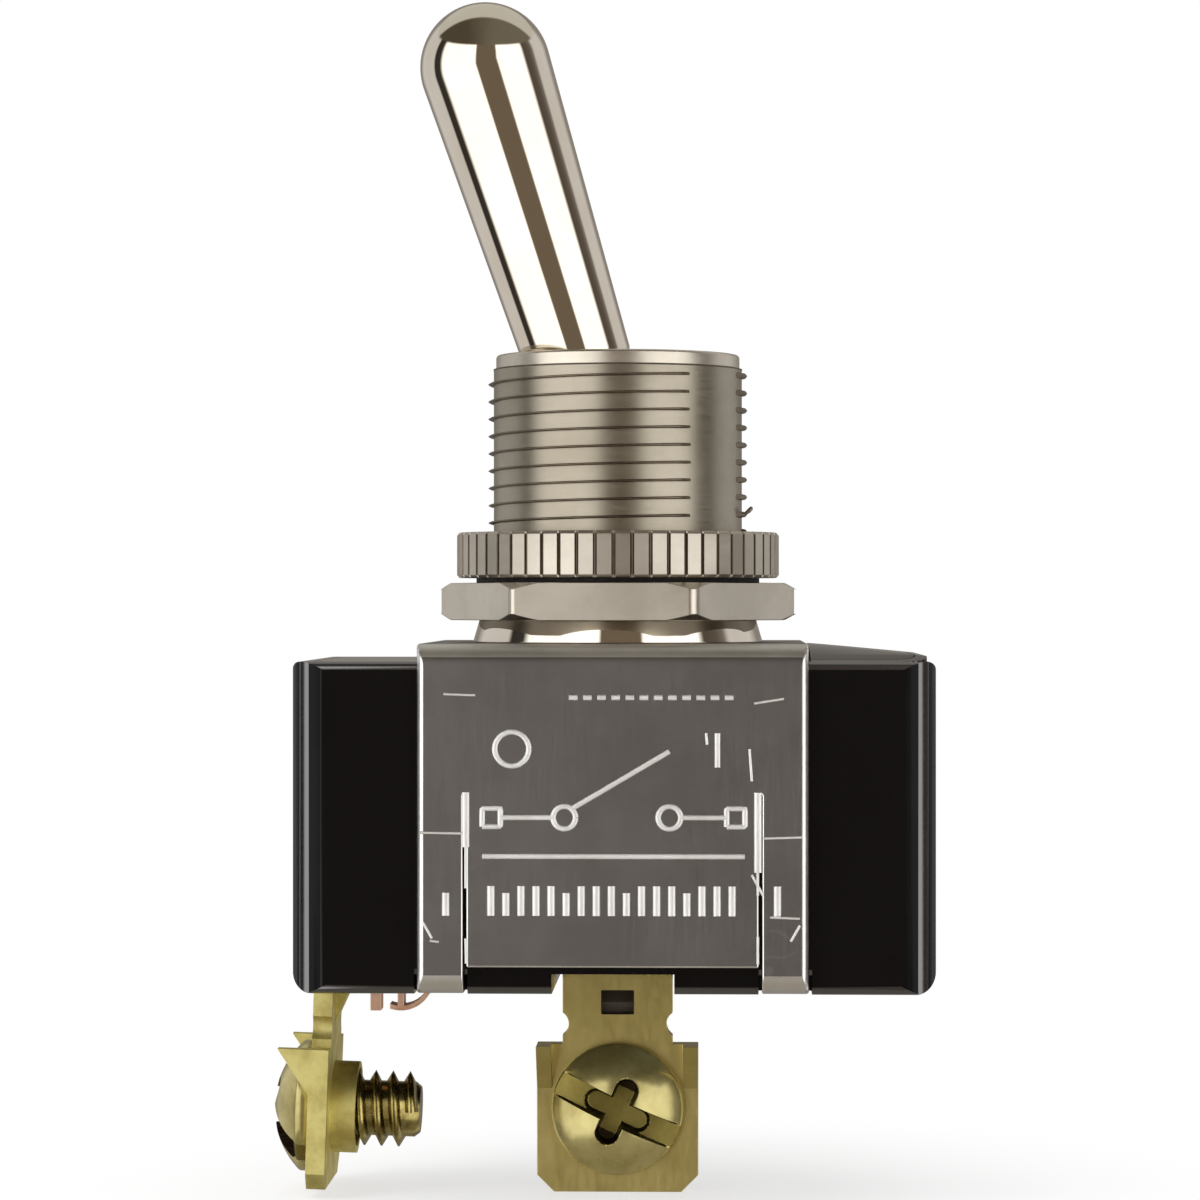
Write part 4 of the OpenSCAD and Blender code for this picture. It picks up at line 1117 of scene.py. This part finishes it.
# %% World
def wall_ramp(tree, share, stops):
    """Colours round the horizon; each stop is an angle from the viewer, right positive."""
    ramp_node = put(tree, "ShaderNodeValToRGB", {"Fac": share})
    ramp = ramp_node.color_ramp
    while len(ramp.elements) < len(stops):
        ramp.elements.new(0.5)
    # all places first, since the ramp keeps its elements in order
    for element, (angle, _) in zip(ramp.elements, stops):
        element.position = (angle + 180) / 360
    for element, (_, colour) in zip(ramp.elements, stops):
        element.color = (*colour, 1)
    return ramp_node.outputs["Color"]


WINDOW = (1.6, 1.58, 1.56)
VIEWER = (0.168, 0.131, 0.094)
PALE = (0.65, 0.64, 0.63)
FAR = (0.27, 0.25, 0.225)
FLOOR = (0.3, 0.27, 0.22)
ROOF_LEFT, ROOF_RIGHT, ROOF_FAR = (0.085, 0.07, 0.05), (0.165, 0.145, 0.11), (0.57, 0.56, 0.51)
EVEN_LIGHT, WHITE = (0.95, 0.94, 0.93), (1.0, 1.0, 1.0)
WALL_STOPS = [(-180, FAR), (-152, FAR), (-138, PALE), (-101, PALE), (-97, (0.035, 0.03, 0.027)),
              (-84, (0.045, 0.04, 0.035)), (-77, WINDOW), (-15, WINDOW), (-13, VIEWER),
              (21, VIEWER), (24, WINDOW), (72, WINDOW), (78, (0.09, 0.075, 0.06)),
              (92, (0.12, 0.1, 0.085)), (100, (0.2, 0.18, 0.16)), (106, PALE), (136, PALE),
              (152, FAR), (180, FAR)]


def tent():
    world = bpy.data.worlds.new("tent")
    world.use_nodes = True
    bpy.context.scene.world = world
    tree = world.node_tree
    way = put(tree, "ShaderNodeTexCoord").outputs["Generated"]
    across, away, up = put(tree, "ShaderNodeSeparateXYZ", {0: way}).outputs
    turn = math_node(tree, "ARCTAN2", across, math_node(tree, "MULTIPLY", away, -1))
    share = math_node(tree, "MULTIPLY_ADD", turn, 1 / (2 * math.pi), 0.5)
    walls = wall_ramp(tree, share, WALL_STOPS)
    # low in front lies the floor
    low_front = math_node(tree, "MULTIPLY", ranged(tree, up, -0.56, -0.62, smooth=True),
                          ranged(tree, away, 0.3, 0.2, smooth=True))
    walls = mix_node(tree, low_front, walls, FLOOR)
    # overhead hangs a roof, darker at the left and pale at its far end
    roof_side = mix_node(tree, ranged(tree, across, -0.5, 0.3, smooth=True),
                         ROOF_LEFT, ROOF_RIGHT)
    lean = math_node(tree, "MULTIPLY_ADD", up, 0.65, away)
    roof = mix_node(tree, ranged(tree, lean, 0.65, 0.75, smooth=True), roof_side, ROOF_FAR)
    shiny = mix_node(tree, ranged(tree, up, 0.52, 0.58, smooth=True), walls, roof)
    path = put(tree, "ShaderNodeLightPath").outputs
    seen = mix_node(tree, path["Is Glossy Ray"], EVEN_LIGHT, shiny)
    final = mix_node(tree, path["Is Camera Ray"], seen, WHITE)
    feed(tree, tree.nodes["Background"], {"Color": final})


tent()
print("world:", bpy.context.scene.world.name)


# %% [markdown]
# ## The floor
#
# The switch stands on a wide pale sheet. It keeps the shadow close to the switch and fades to
# white further out, for the camera alone. Glossy rays pass through it, so that it doesn't cut the
# tent's reflections in half.

# %% Floor
def floor(half=3.0, shadow_from=8 * MM, shadow_to=32 * MM):
    """A wide pale sheet under the switch, white to the camera away from the shadow."""
    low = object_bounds()[0].z
    mesh = bpy.data.meshes.new("floor")
    corners = [(-half, -half, low), (half, -half, low), (half, half, low), (-half, half, low)]
    mesh.from_pydata(corners, [], [(0, 1, 2, 3)])
    mat = bpy.data.materials.new("pale_floor")
    mat.use_nodes = True
    tree = mat.node_tree
    pale = feed(tree, tree.nodes["Principled BSDF"], {
        "Base Color": (0.95, 0.95, 0.95, 1), "Roughness": 0.9, "Specular IOR Level": 0.1,
    })
    white = put(tree, "ShaderNodeEmission")
    place = put(tree, "ShaderNodeTexCoord").outputs["Object"]
    far = vector_node(tree, "LENGTH", vector_node(tree, "MULTIPLY", place, (1, 1, 0)))
    fade = ranged(tree, far, shadow_from, shadow_to, bottom=0.6, smooth=True)
    path = put(tree, "ShaderNodeLightPath").outputs
    seen = math_node(tree, "MULTIPLY", path["Is Camera Ray"], fade)
    mix = put(tree, "ShaderNodeMixShader", {0: seen, 1: pale.outputs[0], 2: white.outputs[0]})
    clear = put(tree, "ShaderNodeBsdfTransparent")
    shown = put(tree, "ShaderNodeMixShader", {
        0: path["Is Glossy Ray"], 1: mix.outputs[0], 2: clear.outputs[0],
    })
    feed(tree, tree.nodes["Material Output"], {"Surface": shown.outputs[0]})
    mesh.materials.append(mat)
    new_object("floor", mesh)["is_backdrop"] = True


floor()
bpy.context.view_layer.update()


# %% [markdown]
# ## Lamp and camera
#
# One large lamp from the upper left gives the forms a soft side and casts the shadow. It is hidden
# from reflections, which belong to the tent. The camera has a long lens, level with the switch.

# %% Lamp and camera
def soft_lamp(name, place, aim, size, power):
    data = bpy.data.lights.new(name, "AREA")
    data.size = size
    data.energy = power
    lamp = new_object(name, data)
    lamp.location = place
    lamp.rotation_euler = (Vector(aim) - Vector(place)).to_track_quat("-Z", "Y").to_euler()
    lamp.visible_glossy = False
    lamp.visible_camera = False


soft_lamp("key_left", (-0.25, -0.2, 0.3), (0, 0, 0), 0.2, 0.6)
lens = bpy.data.cameras.new("viewer")
lens.lens = 123.96
lens.sensor_width = 36
lens.clip_start = 0.005
camera = new_object("viewer", lens)
ROUND = math.radians(1.75)  # the camera stands this far round to the right
EYE = Vector((-0.00082, -0.190, 0.00092))
camera.location = Matrix.Rotation(ROUND, 3, "Z") @ EYE
camera.rotation_euler = (math.radians(90), 0, ROUND)
bpy.context.scene.camera = camera
bpy.context.scene.view_settings.view_transform = "Standard"
print("camera at", [round(c, 5) for c in camera.location])


# %% [markdown]
# ## The end
#
# The dressed model must stay inside the solids' box.

# %% The end
import json
